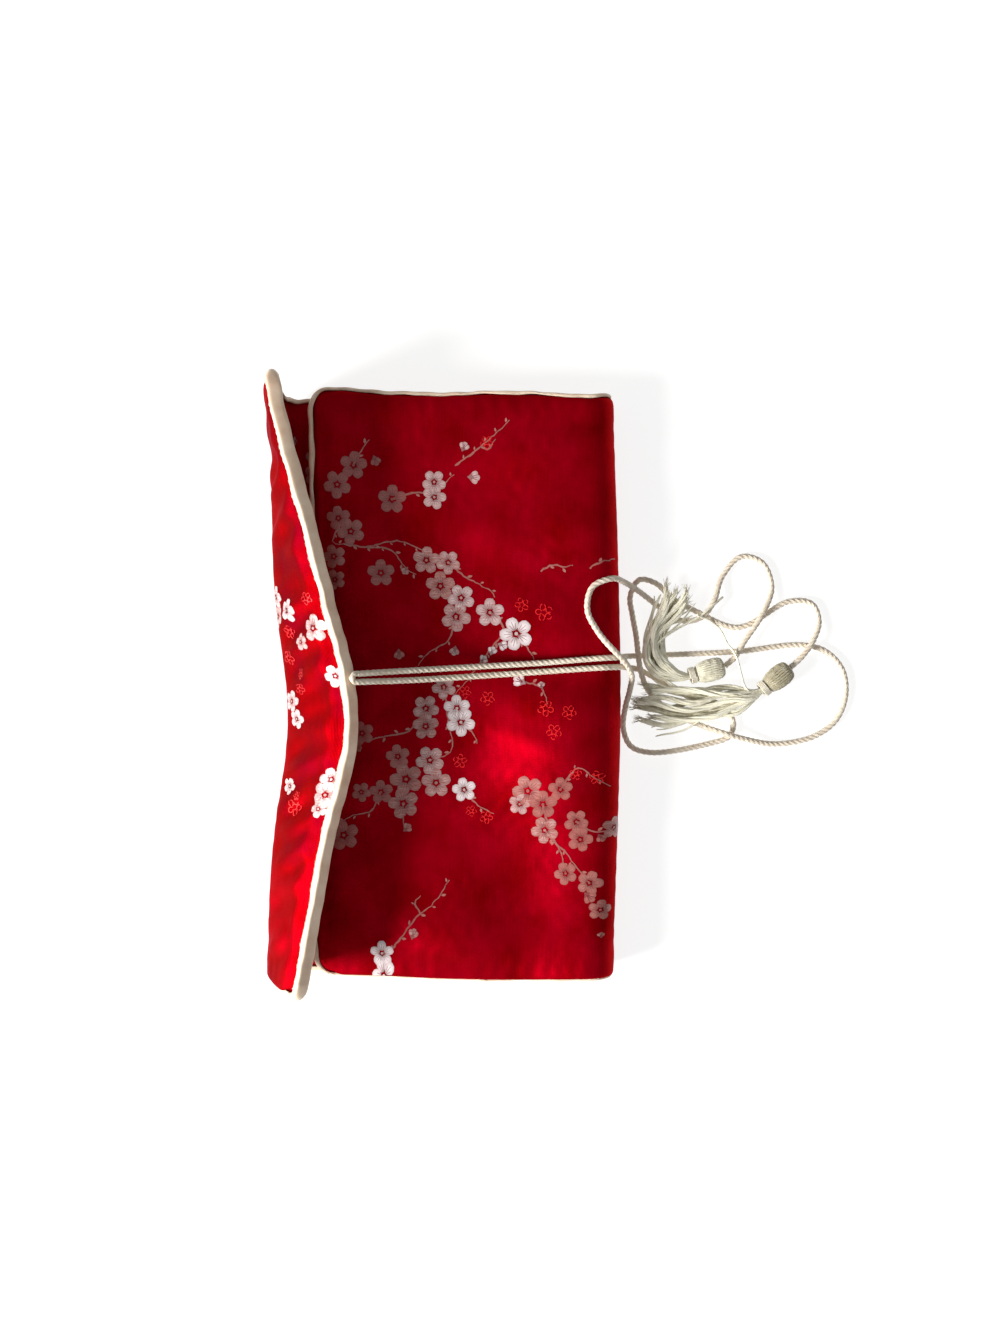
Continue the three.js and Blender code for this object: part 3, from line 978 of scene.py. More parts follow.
def brocade_material(name, deep, bright):
    """Red satin brocade: warp floats make fine ribs along the roll, and the flap's outer face carries
    painted shade that makes it a little deeper.
    """
    s = Shader(name)
    cloth = s.uv("cloth")
    u, v, _ = s.split(cloth)
    cloudy = s.noise(cloth, 55.0, 3.0)
    thread = s.noise(s.scaled(cloth, (2600.0, 90.0, 1.0)), 1.0, 1.0)
    tone = s.plus(s.times(cloudy, 0.75), s.times(thread, 0.25))
    # Painted shade: the flap's outer face is darkened by a set amount, a little less at its lower end.
    outer_face = s.math("LESS_THAN", u, INSIDE / 2)
    flap = s.times(s.rise(u, FLAP_FROM * MM, 0.285), outer_face)
    flap_painted_shade = s.plus(s.times(s.rise(v, -0.085, -0.05), 0.14), 0.12)
    tone = s.math("SUBTRACT", tone, s.times(flap, flap_painted_shade))
    # The darkest red is reached mostly where the flap's painted shade lowers the tone.
    dark = (0.6 * deep[0], 0.0, 0.009)
    s.colour(s.ramp(tone, (0.05, dark), (0.3, deep), (0.7, bright)))
    ribs = s.plus(s.stripes(u, 2300.0), s.times(s.stripes(v, 1500.0), 0.5))
    s.bump(s.plus(ribs, s.times(thread, 0.8)), 0.00003, 0.55)
    s.set(Roughness=0.56, Metallic=0.78, Anisotropic=0.5, Anisotropic_Rotation=0.25)
    s.set(Specular_IOR_Level=0.06, Specular_Tint=(1.0, 0.06, 0.26, 1.0))
    along = s.add("ShaderNodeTangent", direction_type="UV_MAP", uv_map="cloth")
    s.join(along.outputs["Tangent"], s.surface.inputs["Tangent"])
    return s.material


def silver_material(bright):
    """Silver-pink pattern weft, with red stamens and outlines drawn over it; its share of silver at each
    motif carries painted light.
    """
    s = Shader("silver pattern thread")
    place = s.object_place()
    _, y, _ = s.split(place)
    floats = s.noise(s.scaled(place, (420.0, 2200.0, 420.0)), 1.0, 1.0)
    # Painted light: the silver attribute turns blossoms silver where light falls and leaves them dull red
    # in shade; the float noise adds real weave variation.
    shade = s.plus(s.times(floats, 0.5), s.attribute("silver"))
    red = (0.12, (0.33, 0.05, 0.04))
    dull = (0.55, (0.52, 0.2, 0.165))
    silver = (1.0, bright)
    mix = s.add("ShaderNodeMix", data_type="RGBA")
    s.join(s.attribute("stamen"), mix.inputs[s.MIX_FACTOR])
    s.join(s.ramp(shade, red, dull, silver), mix.inputs[s.MIX_A])
    mix.inputs[s.MIX_B].default_value = (0.2, 0.008, 0.014, 1.0)
    s.colour(mix.outputs[s.MIX_RESULT])
    s.bump(s.stripes(y, 2400.0), 0.00004, 0.6)
    s.set(Roughness=0.3, Metallic=0.1, Specular_IOR_Level=0.9)
    return s.material


def red_thread_material(bright):
    """Bright red pattern weft of the outline blossoms."""
    s = Shader("bright red pattern thread")
    shade = s.noise(s.object_place(), 700.0, 2.0)
    s.colour(s.ramp(shade, (0.3, (0.6, 0.006, 0.01)), (0.7, bright)))
    s.set(Roughness=0.45, Specular_IOR_Level=0.2)
    return s.material


def satin_material(name, low, high, uv_name):
    """Ivory bias-cut satin with fine slanting ribs."""
    s = Shader(name)
    cloth = s.uv(uv_name)
    u, v, _ = s.split(cloth)
    cloudy = s.noise(cloth, 120.0, 3.0)
    s.colour(s.ramp(cloudy, (0.3, low), (0.7, high)))
    s.bump(s.plus(s.stripes(s.plus(u, v), 1900.0), s.times(cloudy, 3.0)), 0.00003, 0.5)
    s.set(Roughness=0.42, Sheen_Weight=0.2, Sheen_Roughness=0.4)
    return s.material


def yarn_material(name, low, high, around, lengthwise, rough):
    """Rayon yarn: fine filaments that run round the strand at a slant."""
    s = Shader(name)
    u, v, _ = s.split(s.uv("yarn"))
    slant = s.plus(s.times(u, around), s.times(v, lengthwise))
    cloudy = s.noise(s.object_place(), 420.0, 3.0)
    shade = s.plus(s.times(cloudy, 0.6), s.attribute("tone"))
    s.colour(s.ramp(shade, (0.1, low), (0.5, high)))
    s.bump(s.plus(s.stripes(slant, 1.0), s.times(cloudy, 2.0)), 0.00006, 0.6)
    s.set(Roughness=rough, Sheen_Weight=0.25, Sheen_Roughness=0.4)
    return s.material


def plain_thread_material(name, bright):
    """Sewing thread of one colour, darker in places."""
    s = Shader(name)
    shade = s.noise(s.object_place(), 1500.0, 2.0)
    dark = tuple(0.75 * c for c in bright)
    s.colour(s.ramp(shade, (0.3, dark), (0.7, bright)))
    s.set(Roughness=0.5)
    return s.material


# Paths and ropes.


def distance_along(line):
    """Distance from a line's start at each of its points."""
    return np.concatenate([[0.0], np.cumsum(np.linalg.norm(np.diff(line, axis=0), axis=1))])


def even_steps(line, step):
    """The same line with its points about a step apart."""
    gone = distance_along(line)
    count = max(2, int(round(gone[-1] / step)) + 1)
    at = np.linspace(0.0, gone[-1], count)
    return np.stack([np.interp(at, gone, line[:, k]) for k in range(3)], axis=1)


def catmull_rom(points, step):
    """Centripetal curve through the points, sampled about every step millimetres."""
    p = np.asarray(points, float)
    p = np.vstack([2 * p[0] - p[1], p, 2 * p[-1] - p[-2]])
    out = []
    for k in range(1, len(p) - 2):
        a, b, c, d = p[k - 1], p[k], p[k + 1], p[k + 2]
        t0 = 0.0
        t1 = t0 + math.sqrt(np.linalg.norm(b - a)) + 1e-9
        t2 = t1 + math.sqrt(np.linalg.norm(c - b)) + 1e-9
        t3 = t2 + math.sqrt(np.linalg.norm(d - c)) + 1e-9
        n = max(3, int(np.linalg.norm(c - b) / step * 2))
        t = np.linspace(t1, t2, n, endpoint=False)[:, None]
        a1 = (t1 - t) / (t1 - t0) * a + (t - t0) / (t1 - t0) * b
        a2 = (t2 - t) / (t2 - t1) * b + (t - t1) / (t2 - t1) * c
        a3 = (t3 - t) / (t3 - t2) * c + (t - t2) / (t3 - t2) * d
        b1 = (t2 - t) / (t2 - t0) * a1 + (t - t0) / (t2 - t0) * a2
        b2 = (t3 - t) / (t3 - t1) * a2 + (t - t1) / (t3 - t1) * a3
        out.append((t2 - t) / (t2 - t1) * b1 + (t - t1) / (t2 - t1) * b2)
    out.append(p[-2][None, :])
    return even_steps(np.concatenate(out), step)


def cross_ways(line):
    """Two ways across a line that turn as little as they can along it."""
    tangent = unit(np.gradient(line, axis=0))
    side = np.zeros_like(line)
    start = UPRIGHT if abs(tangent[0][2]) < 0.9 else (1.0, 0.0, 0.0)
    side[0] = unit(np.cross(start, tangent[0]))
    for k in range(1, len(line)):
        side[k] = unit(side[k - 1] - tangent[k] * np.dot(side[k - 1], tangent[k]))
    return side, np.cross(tangent, side)


def rope(name, line, radius, plies, pitch, sides):
    """Laid rope along a line: its plies show as lobes that wind round it."""
    side, up = cross_ways(line)
    gone = distance_along(line)
    around = FULL_TURN * np.arange(sides) / sides
    lobe = np.abs(np.cos(0.5 * plies * around))
    r = radius * (0.80 + 0.24 * lobe**0.8)
    a = around[None, :] + (FULL_TURN * gone / pitch)[:, None]
    ring = side[:, None, :] * np.cos(a)[..., None] + up[:, None, :] * np.sin(a)[..., None]
    points = line[:, None, :] + ring * r[None, :, None]
    n = len(line)
    # The rings run the other way round here, so each quad is turned over.
    faces = [(one, four, three, two) for one, two, three, four in tube_faces(n, sides)]
    for j in range(sides):
        m = (j + 1) % sides
        faces.append((n * sides, m, j))
        faces.append((n * sides + 1, (n - 1) * sides + j, (n - 1) * sides + m))
    piece = add_piece(name, np.concatenate([points.reshape(-1, 3), line[:1], line[-1:]]), faces)
    share = np.broadcast_to(np.arange(sides)[None, :] / sides, (n, sides))
    along = np.broadcast_to(gone[:, None] * MM, (n, sides))
    pairs = np.stack([share.ravel(), along.ravel()], axis=1)
    set_uv(piece, "yarn", np.vstack([pairs, [[0.0, 0.0], [0.0, gone[-1] * MM]]]))
    return piece


# Geometry node trees.


def open_socket(sockets, name):
    """The socket of a name that is in use; some nodes have one for each kind of value."""
    return next(s for s in sockets if s.name == name and s.enabled)


class Nodes:
    """Small helper that lays out a geometry node tree with named inputs."""

    def __init__(self, name, **inputs):
        self.tree = bpy.data.node_groups.new(name, "GeometryNodeTree")
        face = self.tree.interface
        face.new_socket("Geometry", in_out="INPUT", socket_type="NodeSocketGeometry")
        for label, kind in inputs.items():
            face.new_socket(label, in_out="INPUT", socket_type=f"NodeSocket{kind}")
        face.new_socket("Geometry", in_out="OUTPUT", socket_type="NodeSocketGeometry")
        self.given = self.tree.nodes.new("NodeGroupInput").outputs
        self.result = self.tree.nodes.new("NodeGroupOutput").inputs[0]

    def feed(self, node, inputs):
        """Sets a node's inputs, by name or number, from another node's output or a plain value."""
        for key, item in inputs.items():
            socket = node.inputs[key] if isinstance(key, int) else open_socket(node.inputs, key)
            if isinstance(item, bpy.types.NodeSocket):
                self.tree.links.new(item, socket)
            else:
                socket.default_value = item

    def add(self, kind, inputs=None, **settings):
        node = self.tree.nodes.new(kind)
        for key, value in settings.items():
            setattr(node, key, value)
        self.feed(node, inputs or {})
        return node

    def named(self, name, kind="FLOAT"):
        """A stored attribute."""
        node = self.add("GeometryNodeInputNamedAttribute", {"Name": name}, data_type=kind)
        return node.outputs["Attribute"]

    def math(self, operation, a, b):
        return self.add("ShaderNodeMath", {0: a, 1: b}, operation=operation).outputs[0]

    def combine(self, x=0.0, y=0.0, z=0.0):
        return self.add("ShaderNodeCombineXYZ", {"X": x, "Y": y, "Z": z}).outputs[0]

    def captured(self, geometry, name, output):
        """Keeps a field's values on a curve's points under a name; gives the geometry and the values."""
        node = self.add("GeometryNodeCaptureAttribute", domain="POINT")
        node.capture_items.new("FLOAT", name)
        field = self.add("GeometryNodeSplineParameter").outputs[output]
        self.feed(node, {"Geometry": geometry, name: field})
        return node.outputs["Geometry"], node.outputs[name]

    def instances(self, points, shape, turn, scale):
        """A copy of a shape at each point."""
        spin = self.add("FunctionNodeEulerToRotation", {"Euler": turn}).outputs[0]
        inputs = {"Points": points, "Instance": shape, "Rotation": spin, "Scale": scale}
        return self.add("GeometryNodeInstanceOnPoints", inputs).outputs[0]

    def real(self, geometry):
        return self.add("GeometryNodeRealizeInstances", {"Geometry": geometry}).outputs[0]

    def end(self, geometry):
        """Real geometry with the given material as the tree's result."""
        inputs = {"Geometry": self.real(geometry), "Material": self.given["Material"]}
        node = self.add("GeometryNodeSetMaterial", inputs)
        self.tree.links.new(node.outputs[0], self.result)
        return self.tree


def lay_on_cloth(nodes, geometry):
    """Takes flat geometry drawn in the cloth's own coordinates and lays it on the folded cloth."""
    inputs = {"Object": nodes.given["Cloth"]}
    cloth = nodes.add("GeometryNodeObjectInfo", inputs, transform_space="RELATIVE")
    drawn = nodes.add("GeometryNodeInputPosition").outputs[0]
    xyz = nodes.add("ShaderNodeSeparateXYZ", {"Vector": drawn}).outputs
    at = nodes.combine(xyz[0], xyz[1])
    found = []
    for kind in ("GeometryNodeInputPosition", "GeometryNodeInputNormal"):
        inputs = {
            "Mesh": cloth.outputs["Geometry"],
            "Value": nodes.add(kind).outputs[0],
            "UV Map": nodes.named("cloth", "FLOAT_VECTOR"),
            "Sample UV": at,
        }
        found.append(nodes.add("GeometryNodeSampleUVSurface", inputs, data_type="FLOAT_VECTOR").outputs)
    place, normal = (open_socket(outputs, "Value") for outputs in found)
    outside = nodes.add("FunctionNodeBooleanMath", {0: found[0]["Is Valid"]}, operation="NOT").outputs[0]
    trim = nodes.add(
        "GeometryNodeDeleteGeometry", {"Geometry": geometry, "Selection": outside}, domain="POINT"
    )
    height = nodes.math("ADD", xyz[2], nodes.given["Lift"])
    rise = nodes.add("ShaderNodeVectorMath", {0: normal, "Scale": height}, operation="SCALE").outputs[0]
    total = nodes.add("ShaderNodeVectorMath", {0: place, 1: rise}, operation="ADD").outputs[0]
    move = nodes.add("GeometryNodeSetPosition", {"Geometry": trim.outputs[0], "Position": total})
    return move.outputs[0]


def motif_tree():
    """One woven motif at each point, sized and turned by the point's own numbers."""
    nodes = Nodes(
        "motifs on cloth", Motif="Object", Cloth="Object", Relief="Float", Lift="Float", Material="Material"
    )
    motif = nodes.add("GeometryNodeObjectInfo", {"Object": nodes.given["Motif"]})
    size = nodes.named("size")
    put = nodes.instances(
        nodes.given["Geometry"],
        motif.outputs["Geometry"],
        nodes.combine(z=nodes.named("turn")),
        nodes.combine(size, size, nodes.given["Relief"]),
    )
    return nodes.end(lay_on_cloth(nodes, nodes.real(put)))


def strip_tree():
    """Flat strips laid on the cloth."""
    nodes = Nodes("strips on cloth", Cloth="Object", Lift="Float", Material="Material")
    return nodes.end(lay_on_cloth(nodes, nodes.given["Geometry"]))


def stitch_tree():
    """A stitch at each point, turned by the point's own angles."""
    nodes = Nodes("stitch row", Length="Float", Thickness="Float", Material="Material")
    ball = nodes.add("GeometryNodeMeshUVSphere", {"Segments": 6, "Rings": 5, "Radius": 0.5})
    thick = nodes.given["Thickness"]
    put = nodes.instances(
        nodes.given["Geometry"],
        ball.outputs[0],
        nodes.named("facing", "FLOAT_VECTOR"),
        nodes.combine(nodes.given["Length"], thick, thick),
    )
    return nodes.end(put)


def round_tree():
    """Copies of a strand all round the upright axis, each a little larger or smaller."""
    nodes = Nodes("strands round an axis", Count="Int", Unevenness="Float", Seed="Int", Material="Material")
    ring = nodes.add("GeometryNodePoints", {"Count": nodes.given["Count"]})
    number = nodes.add("GeometryNodeInputIndex").outputs[0]
    angle = nodes.math("MULTIPLY", nodes.math("DIVIDE", number, nodes.given["Count"]), FULL_TURN)
    smallest = nodes.math("SUBTRACT", 1.0, nodes.given["Unevenness"])
    chance = {"Min": smallest, "Max": 1.0, "Seed": nodes.given["Seed"]}
    sizes = nodes.add("FunctionNodeRandomValue", chance, data_type="FLOAT")
    size = open_socket(sizes.outputs, "Value")
    put = nodes.instances(
        ring.outputs[0], nodes.given["Geometry"], nodes.combine(z=angle), nodes.combine(size, size, 1.0)
    )
    return nodes.end(put)


def winding_tree():
    """A thread wound into a tight coil about the upright axis."""
    nodes = Nodes(
        "wound thread", Turns="Float", Radius="Float", Height="Float", Thread="Float", Material="Material"
    )
    inputs = {
        "Resolution": 28,
        "Rotations": nodes.given["Turns"],
        "Start Radius": nodes.given["Radius"],
        "End Radius": nodes.given["Radius"],
        "Height": nodes.given["Height"],
    }
    coil = nodes.add("GeometryNodeCurveSpiral", inputs).outputs[0]
    section = nodes.add(
        "GeometryNodeCurvePrimitiveCircle", {"Resolution": 8, "Radius": nodes.given["Thread"]}
    )
    inputs = {"Curve": coil, "Profile Curve": section.outputs[0], "Fill Caps": True}
    return nodes.end(nodes.add("GeometryNodeCurveToMesh", inputs).outputs[0])


def yarn_tree():
    """Strands that follow drawn lines, as thick as each line's own points say."""
    nodes = Nodes("yarn along lines", Sides="Int", Material="Material")
    drawn = nodes.add("GeometryNodeMeshToCurve", {"Mesh": nodes.given["Geometry"]}).outputs[0]
    line, along = nodes.captured(drawn, "along", "Length")
    thick = nodes.named("thick")
    line = nodes.add("GeometryNodeSetCurveRadius", {"Curve": line, "Radius": thick}).outputs[0]
    circle = {"Resolution": nodes.given["Sides"], "Radius": 1.0}
    ring = nodes.add("GeometryNodeCurvePrimitiveCircle", circle).outputs[0]
    section, around = nodes.captured(ring, "around", "Factor")
    inputs = {"Curve": line, "Profile Curve": section, "Scale": thick, "Fill Caps": True}
    tube = nodes.add("GeometryNodeCurveToMesh", inputs).outputs[0]
    inputs = {"Geometry": tube, "Name": "yarn", "Value": nodes.combine(around, along)}
    keep = nodes.add("GeometryNodeStoreNamedAttribute", inputs, data_type="FLOAT2", domain="CORNER")
    return nodes.end(keep.outputs[0])


def apply_tree(piece, tree, **inputs):
    """Runs a node tree on a piece with the inputs given by name, and keeps the plain mesh."""
    step = piece.modifiers.new("nodes", "NODES")
    step.node_group = tree
    for item in tree.interface.items_tree:
        if item.in_out == "INPUT" and item.name.lower() in inputs:
            step[item.identifier] = inputs[item.name.lower()]
    for _ in range(2):
        piece.update_tag()
        bpy.context.view_layer.update()
    freeze(piece)
    if len(piece.data.polygons) == 0:
        raise RuntimeError(f"{piece.name} came out empty")


def sew(name, places, ways, size, material, slot):
    """Row of stitches, each along its own way."""
    piece = add_piece(name, places, [])
    angles = [tuple(Vector(way).to_track_quat("X", "Z").to_euler()) for way in ways]
    set_numbers(piece, "facing", angles, "FLOAT_VECTOR")
    apply_tree(piece, stitch_tree(), length=size[0], thickness=size[1], material=material)
    declare(piece, slot)


# Settings.


def length(name, description, default, low, high):
    """A size in metres that a user may change."""
    return FloatProperty(
        name=name,
        description=description,
        default=default,
        min=low,
        max=high,
        unit="LENGTH",
        subtype="DISTANCE",
    )


def colour(name, description, default):
    """A colour that a user may change."""
    return FloatVectorProperty(
        name=name,
        description=description,
        default=default,
        min=0.0,
        max=1.0,
        subtype="COLOR",
    )


class RollClothSettings(bpy.types.PropertyGroup):
    """Padded panel, its lining and its binding."""

    slack: FloatProperty(
        name="Slack",
        description="Share of spare cloth sewn in",
        default=0.012,
        min=0.0,
        max=0.2,
        subtype="FACTOR",
    )
    padding: FloatProperty(
        name="Padding",
        description="Push of the padding against the cloth",
        default=1.2,
        min=0.0,
        max=20.0,
    )
    hold: FloatProperty(
        name="Hold",
        description="How firmly the quilted layers keep their fold",
        default=0.5,
        min=0.0,
        max=1.0,
        subtype="FACTOR",
    )
    frames: IntProperty(
        name="Settling",
        description="Steps in which the cloth settles",
        default=16,
        min=1,
        max=60,
    )
    limit: length("Limit", "Furthest that cloth moves as it settles", 0.0018, 0.0, 0.01)
    finer: IntProperty(
        name="Finer",
        description="Subdivision of the settled cloth",
        default=1,
        min=0,
        max=2,
    )
    brocade_deep: colour("Brocade, deep", "Darker red of the brocade's ground", (0.26, 0.0, 0.001))
    brocade_bright: colour("Brocade, bright", "Lighter red of the brocade's ground", (0.47, 0.0, 0.012))
    lining_deep: colour("Lining, deep", "Darker red of the slip pockets", (0.2, 0.0, 0.006))
    lining_bright: colour("Lining, bright", "Lighter red of the slip pockets", (0.3, 0.0, 0.01))
    binding_deep: colour("Binding, deep", "Darker ivory of the satin binding", (0.72, 0.5, 0.35))
    binding_bright: colour("Binding, bright", "Lighter ivory of the satin binding", (0.91, 0.755, 0.58))


class RollPatternSettings(bpy.types.PropertyGroup):
    """Woven pattern."""

    relief: length("Relief", "Height of the woven motifs above the ground", 0.00016, 0.0, 0.002)
    lift: length("Lift", "Gap that keeps a motif clear of the ground", 0.00007, 0.0, 0.002)
    silver: colour("Silver", "Brightest thread of the blossoms", (1.0, 0.91, 0.92))
    red: colour("Red", "Brightest thread of the red outline blossoms", (0.85, 0.02, 0.02))


class RollCordSettings(bpy.types.PropertyGroup):
    """Cord and tassels."""

    diameter: length("Cord diameter", "Diameter of the laid cord", 0.0024, 0.001, 0.01)
    pitch: length("Lay", "Length in which a ply winds once round the cord", 0.0066, 0.002, 0.05)
    plies: IntProperty(name="Plies", description="Strands laid into the cord", default=3, min=2, max=4)
    yarns: IntProperty(
        name="Yarns",
        description="Yarns in each lock of a tassel skirt",
        default=5,
        min=2,
        max=9,
    )
    head_strands: IntProperty(
        name="Head strands",
        description="Strands that show round a tassel head",
        default=26,
        min=8,
        max=60,
    )
    cord_deep: colour("Cord, deep", "Darker ivory of the cord", (0.64, 0.53, 0.4))
    cord_bright: colour("Cord, bright", "Lighter ivory of the cord", (0.9, 0.82, 0.69))
    yarn_deep: colour("Tassel, deep", "Darker cream of the tassels' yarn", (0.43, 0.38, 0.25))
    yarn_bright: colour("Tassel, bright", "Lighter cream of the tassels' yarn", (0.99, 0.955, 0.77))


class RollStageSettings(bpy.types.PropertyGroup):
    """Floor, light and camera."""

    lens: FloatProperty(
        name="Lens",
        description="Focal length for a 36 mm picture height",
        default=29.71,
        min=10.0,
        max=200.0,
        unit="CAMERA",
    )
    height: length("Camera height", "Height of the camera above the table", 0.457, 0.1, 5.0)
    key: FloatProperty(
        name="Key light",
        description="Power of the window light",
        default=30.0,
        min=0.0,
        max=200.0,
        unit="POWER",
    )
    fill: FloatProperty(
        name="Fill light",
        description="Strength of the light from all round",
        default=0.27,
        min=0.0,
        max=5.0,
    )


# Operators, one for each piece or group of like pieces.


class ROLL_OT_camera(bpy.types.Operator):
    """Place the camera straight above the roll"""

    bl_idname = "roll.camera"
    bl_label = "Camera"

    def execute(self, context):
        settings = context.scene.roll_stage
        data = bpy.data.cameras.new("overhead camera")
        data.sensor_fit = "AUTO"
        data.sensor_width = 36.0
        data.lens = settings.lens
        data.clip_start = 0.01
        data.clip_end = 20.0
        camera = bpy.data.objects.new("overhead camera", data)
        camera.location = (*CAMERA_OVER, settings.height)
        context.scene.collection.objects.link(camera)
        context.scene.camera = camera
        return {"FINISHED"}


def cord_line(route, diameter):
    """Middle line of a cord, no lower than the table lets it lie."""
    line = catmull_rom(route, CORD_STEP)
    line[:, 2] = np.maximum(line[:, 2], 1.06 * diameter / MM / 2)
    return line


class ROLL_OT_cords(bpy.types.Operator):
    """Lay the two strands of the twisted cord and the sewn bight between them"""

    bl_idname = "roll.cords"
    bl_label = "Cords"

    def execute(self, context):
        settings = context.scene.roll_cord
        radius = settings.diameter / MM / 2
        bight = catmull_rom(BIGHT, BIGHT_STEP)
        tones = settings.cord_deep, settings.cord_bright
        material = yarn_material("ivory cord", *tones, 9.0, 900.0, 0.46)
        for part, line, thick, sides in (
            ("upper", cord_line(UPPER_ROUTE, settings.diameter), radius, CORD_SIDES),
            ("lower", cord_line(LOWER_ROUTE, settings.diameter), radius, CORD_SIDES),
            ("bight", bight, 0.97 * radius, BIGHT_SIDES),
        ):
            piece = rope(f"twisted_cord_{part}", line, thick, settings.plies, settings.pitch / MM, sides)
            paint(piece, material)
            declare(piece, "twisted_cord", f"cord_{part}")
        return {"FINISHED"}


def pad_half(d):
    """Half thickness of the padded sheet at a distance from its outline."""
    return HALF_EDGE + (HALF_PAD - HALF_EDGE) * smooth(EDGE_FLAT, EDGE_FLAT + EDGE_RAMP, d)


def front_swell(x, y):
    """Height of the padding's swells over the front panel."""
    total = 0.0 * x
    for cx, cy, long, wide, high, slant in SWELLS:
        a = (x - cx) * math.cos(slant) + (y - cy) * math.sin(slant)
        b = (y - cy) * math.cos(slant) - (x - cx) * math.sin(slant)
        total = total + high * np.exp(-((a / long) ** 2) - (b / wide) ** 2)
    return total


def soft_relief(w, y, d, x):
    """Puckers beside the binding, swells of the front panel and creases of the flap, as heights."""
    s = cloth_place(w)
    near_edge = np.exp(-((d / PUCKER_REACH) ** 2)) * smooth(2.4, 5.0, d)
    around = np.where(HALF_Y - np.abs(y) < np.minimum(s, SHEET_LENGTH - s), s, y)
    pucker = PUCKER * near_edge * noise_wave(around * 0.75, d * 0.12, 4)
    swell = front_swell(x, y) + FRONT_UNEVEN * noise_wave(s / 11.0, y / 7.5, 9)
    slanting = noise_wave((y - 0.6 * s) / 3.2, (s + 0.6 * y) / 7.0, 15)
    crease = CREASE * smooth(CREASE_FROM, CREASE_TO, s) * slanting
    under_cord = np.exp(-(((y - CORD_Y) / CORD_REACH) ** 2)) * smooth(2.0, 1.0, w)
    on_front = smooth(1.5, 0.92, w) * (1.0 - under_cord)
    return pucker + smooth(4.0, 14.0, d) * (swell * on_front + crease)


def outer_face(rows, w, y, d):
    """Outer face of the padded sheet, which bulges over the binding at the roll's two ends."""
    half = pad_half(d)
    ends = np.array([end_distance(row) for row in rows])[:, None]
    at_side = smooth(3.0, 11.0, ends) * (d > 2.6)
    bulge = np.where(y > 0.0, TOP_BULGE, LOW_BULGE) * smooth(8.0, 3.0, d) * at_side
    front = np.array([row[0] == "front" for row in rows])[:, None]
    half = np.where(front, np.maximum(half, 2.8 * smooth(0.2, 1.9, d)), half)
    plump = HALF_PAD + 0.4 * smooth(14.0, 6.0, d) - 0.5 * smooth(5.0, 3.0, d) * (y > 0.0)
    half = half + (plump - half) * at_side * smooth(20.0, 12.0, d)
    moved = np.sign(y) * (np.abs(y) + bulge)
    middle = surface(w, moved)
    height = half + soft_relief(w, y, d, middle[..., 0])
    face = middle + face_normal(w, moved) * height[..., None]
    face[..., 2] = np.maximum(face[..., 2], TABLE_GAP)
    return face


def settled_places(piece, hold, settings):
    """Places that the sewn sheet's points come to when it settles with spare cloth in it."""
    group = piece.vertex_groups.new(name="sewn")
    for step in range(1, HOLD_LEVELS + 1):
        chosen = np.nonzero(np.round(hold * HOLD_LEVELS) == step)[0]
        group.add(chosen.tolist(), step / HOLD_LEVELS, "REPLACE")
    cloth = piece.modifiers.new("settle", "CLOTH")
    for key, value in CLOTH.items():
        setattr(cloth.settings, key, value)
    cloth.settings.vertex_group_mass = "sewn"
    cloth.settings.shrink_min = -settings.slack
    cloth.settings.use_pressure = True
    cloth.settings.uniform_pressure_force = settings.padding
    cloth.settings.effector_weights.gravity = 0.0
    cloth.collision_settings.use_collision = False
    cloth.collision_settings.use_self_collision = False
    cloth.point_cache.frame_start = 1
    cloth.point_cache.frame_end = settings.frames
    scene = bpy.context.scene
    for number in range(1, settings.frames + 1):
        scene.frame_set(number)
    found = piece.evaluated_get(bpy.context.evaluated_depsgraph_get())
    places = np.zeros(len(piece.data.vertices) * 3, dtype=np.float32)
    found.to_mesh().vertices.foreach_get("co", places)
    found.to_mesh_clear()
    piece.modifiers.clear()
    piece.vertex_groups.clear()
    scene.frame_set(1)
    return places.reshape(-1, 3).astype(float)


class ROLL_OT_panel(bpy.types.Operator):
    """Make the padded brocade sheet, folded in three, and let its cloth settle"""

    bl_idname = "roll.panel"
    bl_label = "Padded panel"

    def execute(self, context):
        settings = context.scene.roll_cloth
        rows, w, y, d = sheet_grid()
        outer = outer_face(rows, w, y, d)
        inner = surface(w, y) - face_normal(w, y) * pad_half(d)[..., None]
        points = np.concatenate([outer.reshape(-1, 3), inner.reshape(-1, 3)])
        piece = add_piece("brocade_panel", points, grid_faces(*w.shape))
        both_faces = 2 * (w.shape[0] - 1) * (w.shape[1] - 1)
        set_uv(piece, "cloth", cloth_uv(w, y), both_faces)
        self.settle(piece, points * MM, w, d, settings)
        refine(piece, settings.finer)
        tones = settings.brocade_deep, settings.brocade_bright
        paint(piece, brocade_material("red satin brocade", *tones))
        declare(piece, "brocade", "padded_panel")
        return {"FINISHED"}

    def settle(self, piece, start, w, d, settings):
        """Lets the cloth settle, but no point further than the limit, and the inner face only a little."""
        under = ((w > 2.02) & (w < 2.98)).ravel()
        edge = 1.0 - smooth(2.4, 4.6, d).ravel()
        outer_hold = np.maximum(np.where(under, UNDER_HOLD, settings.hold), edge)
        inner_hold = np.maximum(INNER_HOLD, edge)
        moved = settled_places(piece, np.concatenate([outer_hold, inner_hold]), settings) - start
        far = np.linalg.norm(moved, axis=1, keepdims=True)
        moved *= np.minimum(1.0, settings.limit / np.maximum(far, 1e-9))
        moved[w.size :] *= INNER_SHARE
        places = start + moved
        places[:, 2] = np.maximum(places[:, 2], TABLE_GAP * MM)
        piece.data.vertices.foreach_set("co", places.astype(np.float32).ravel())
        piece.data.update()


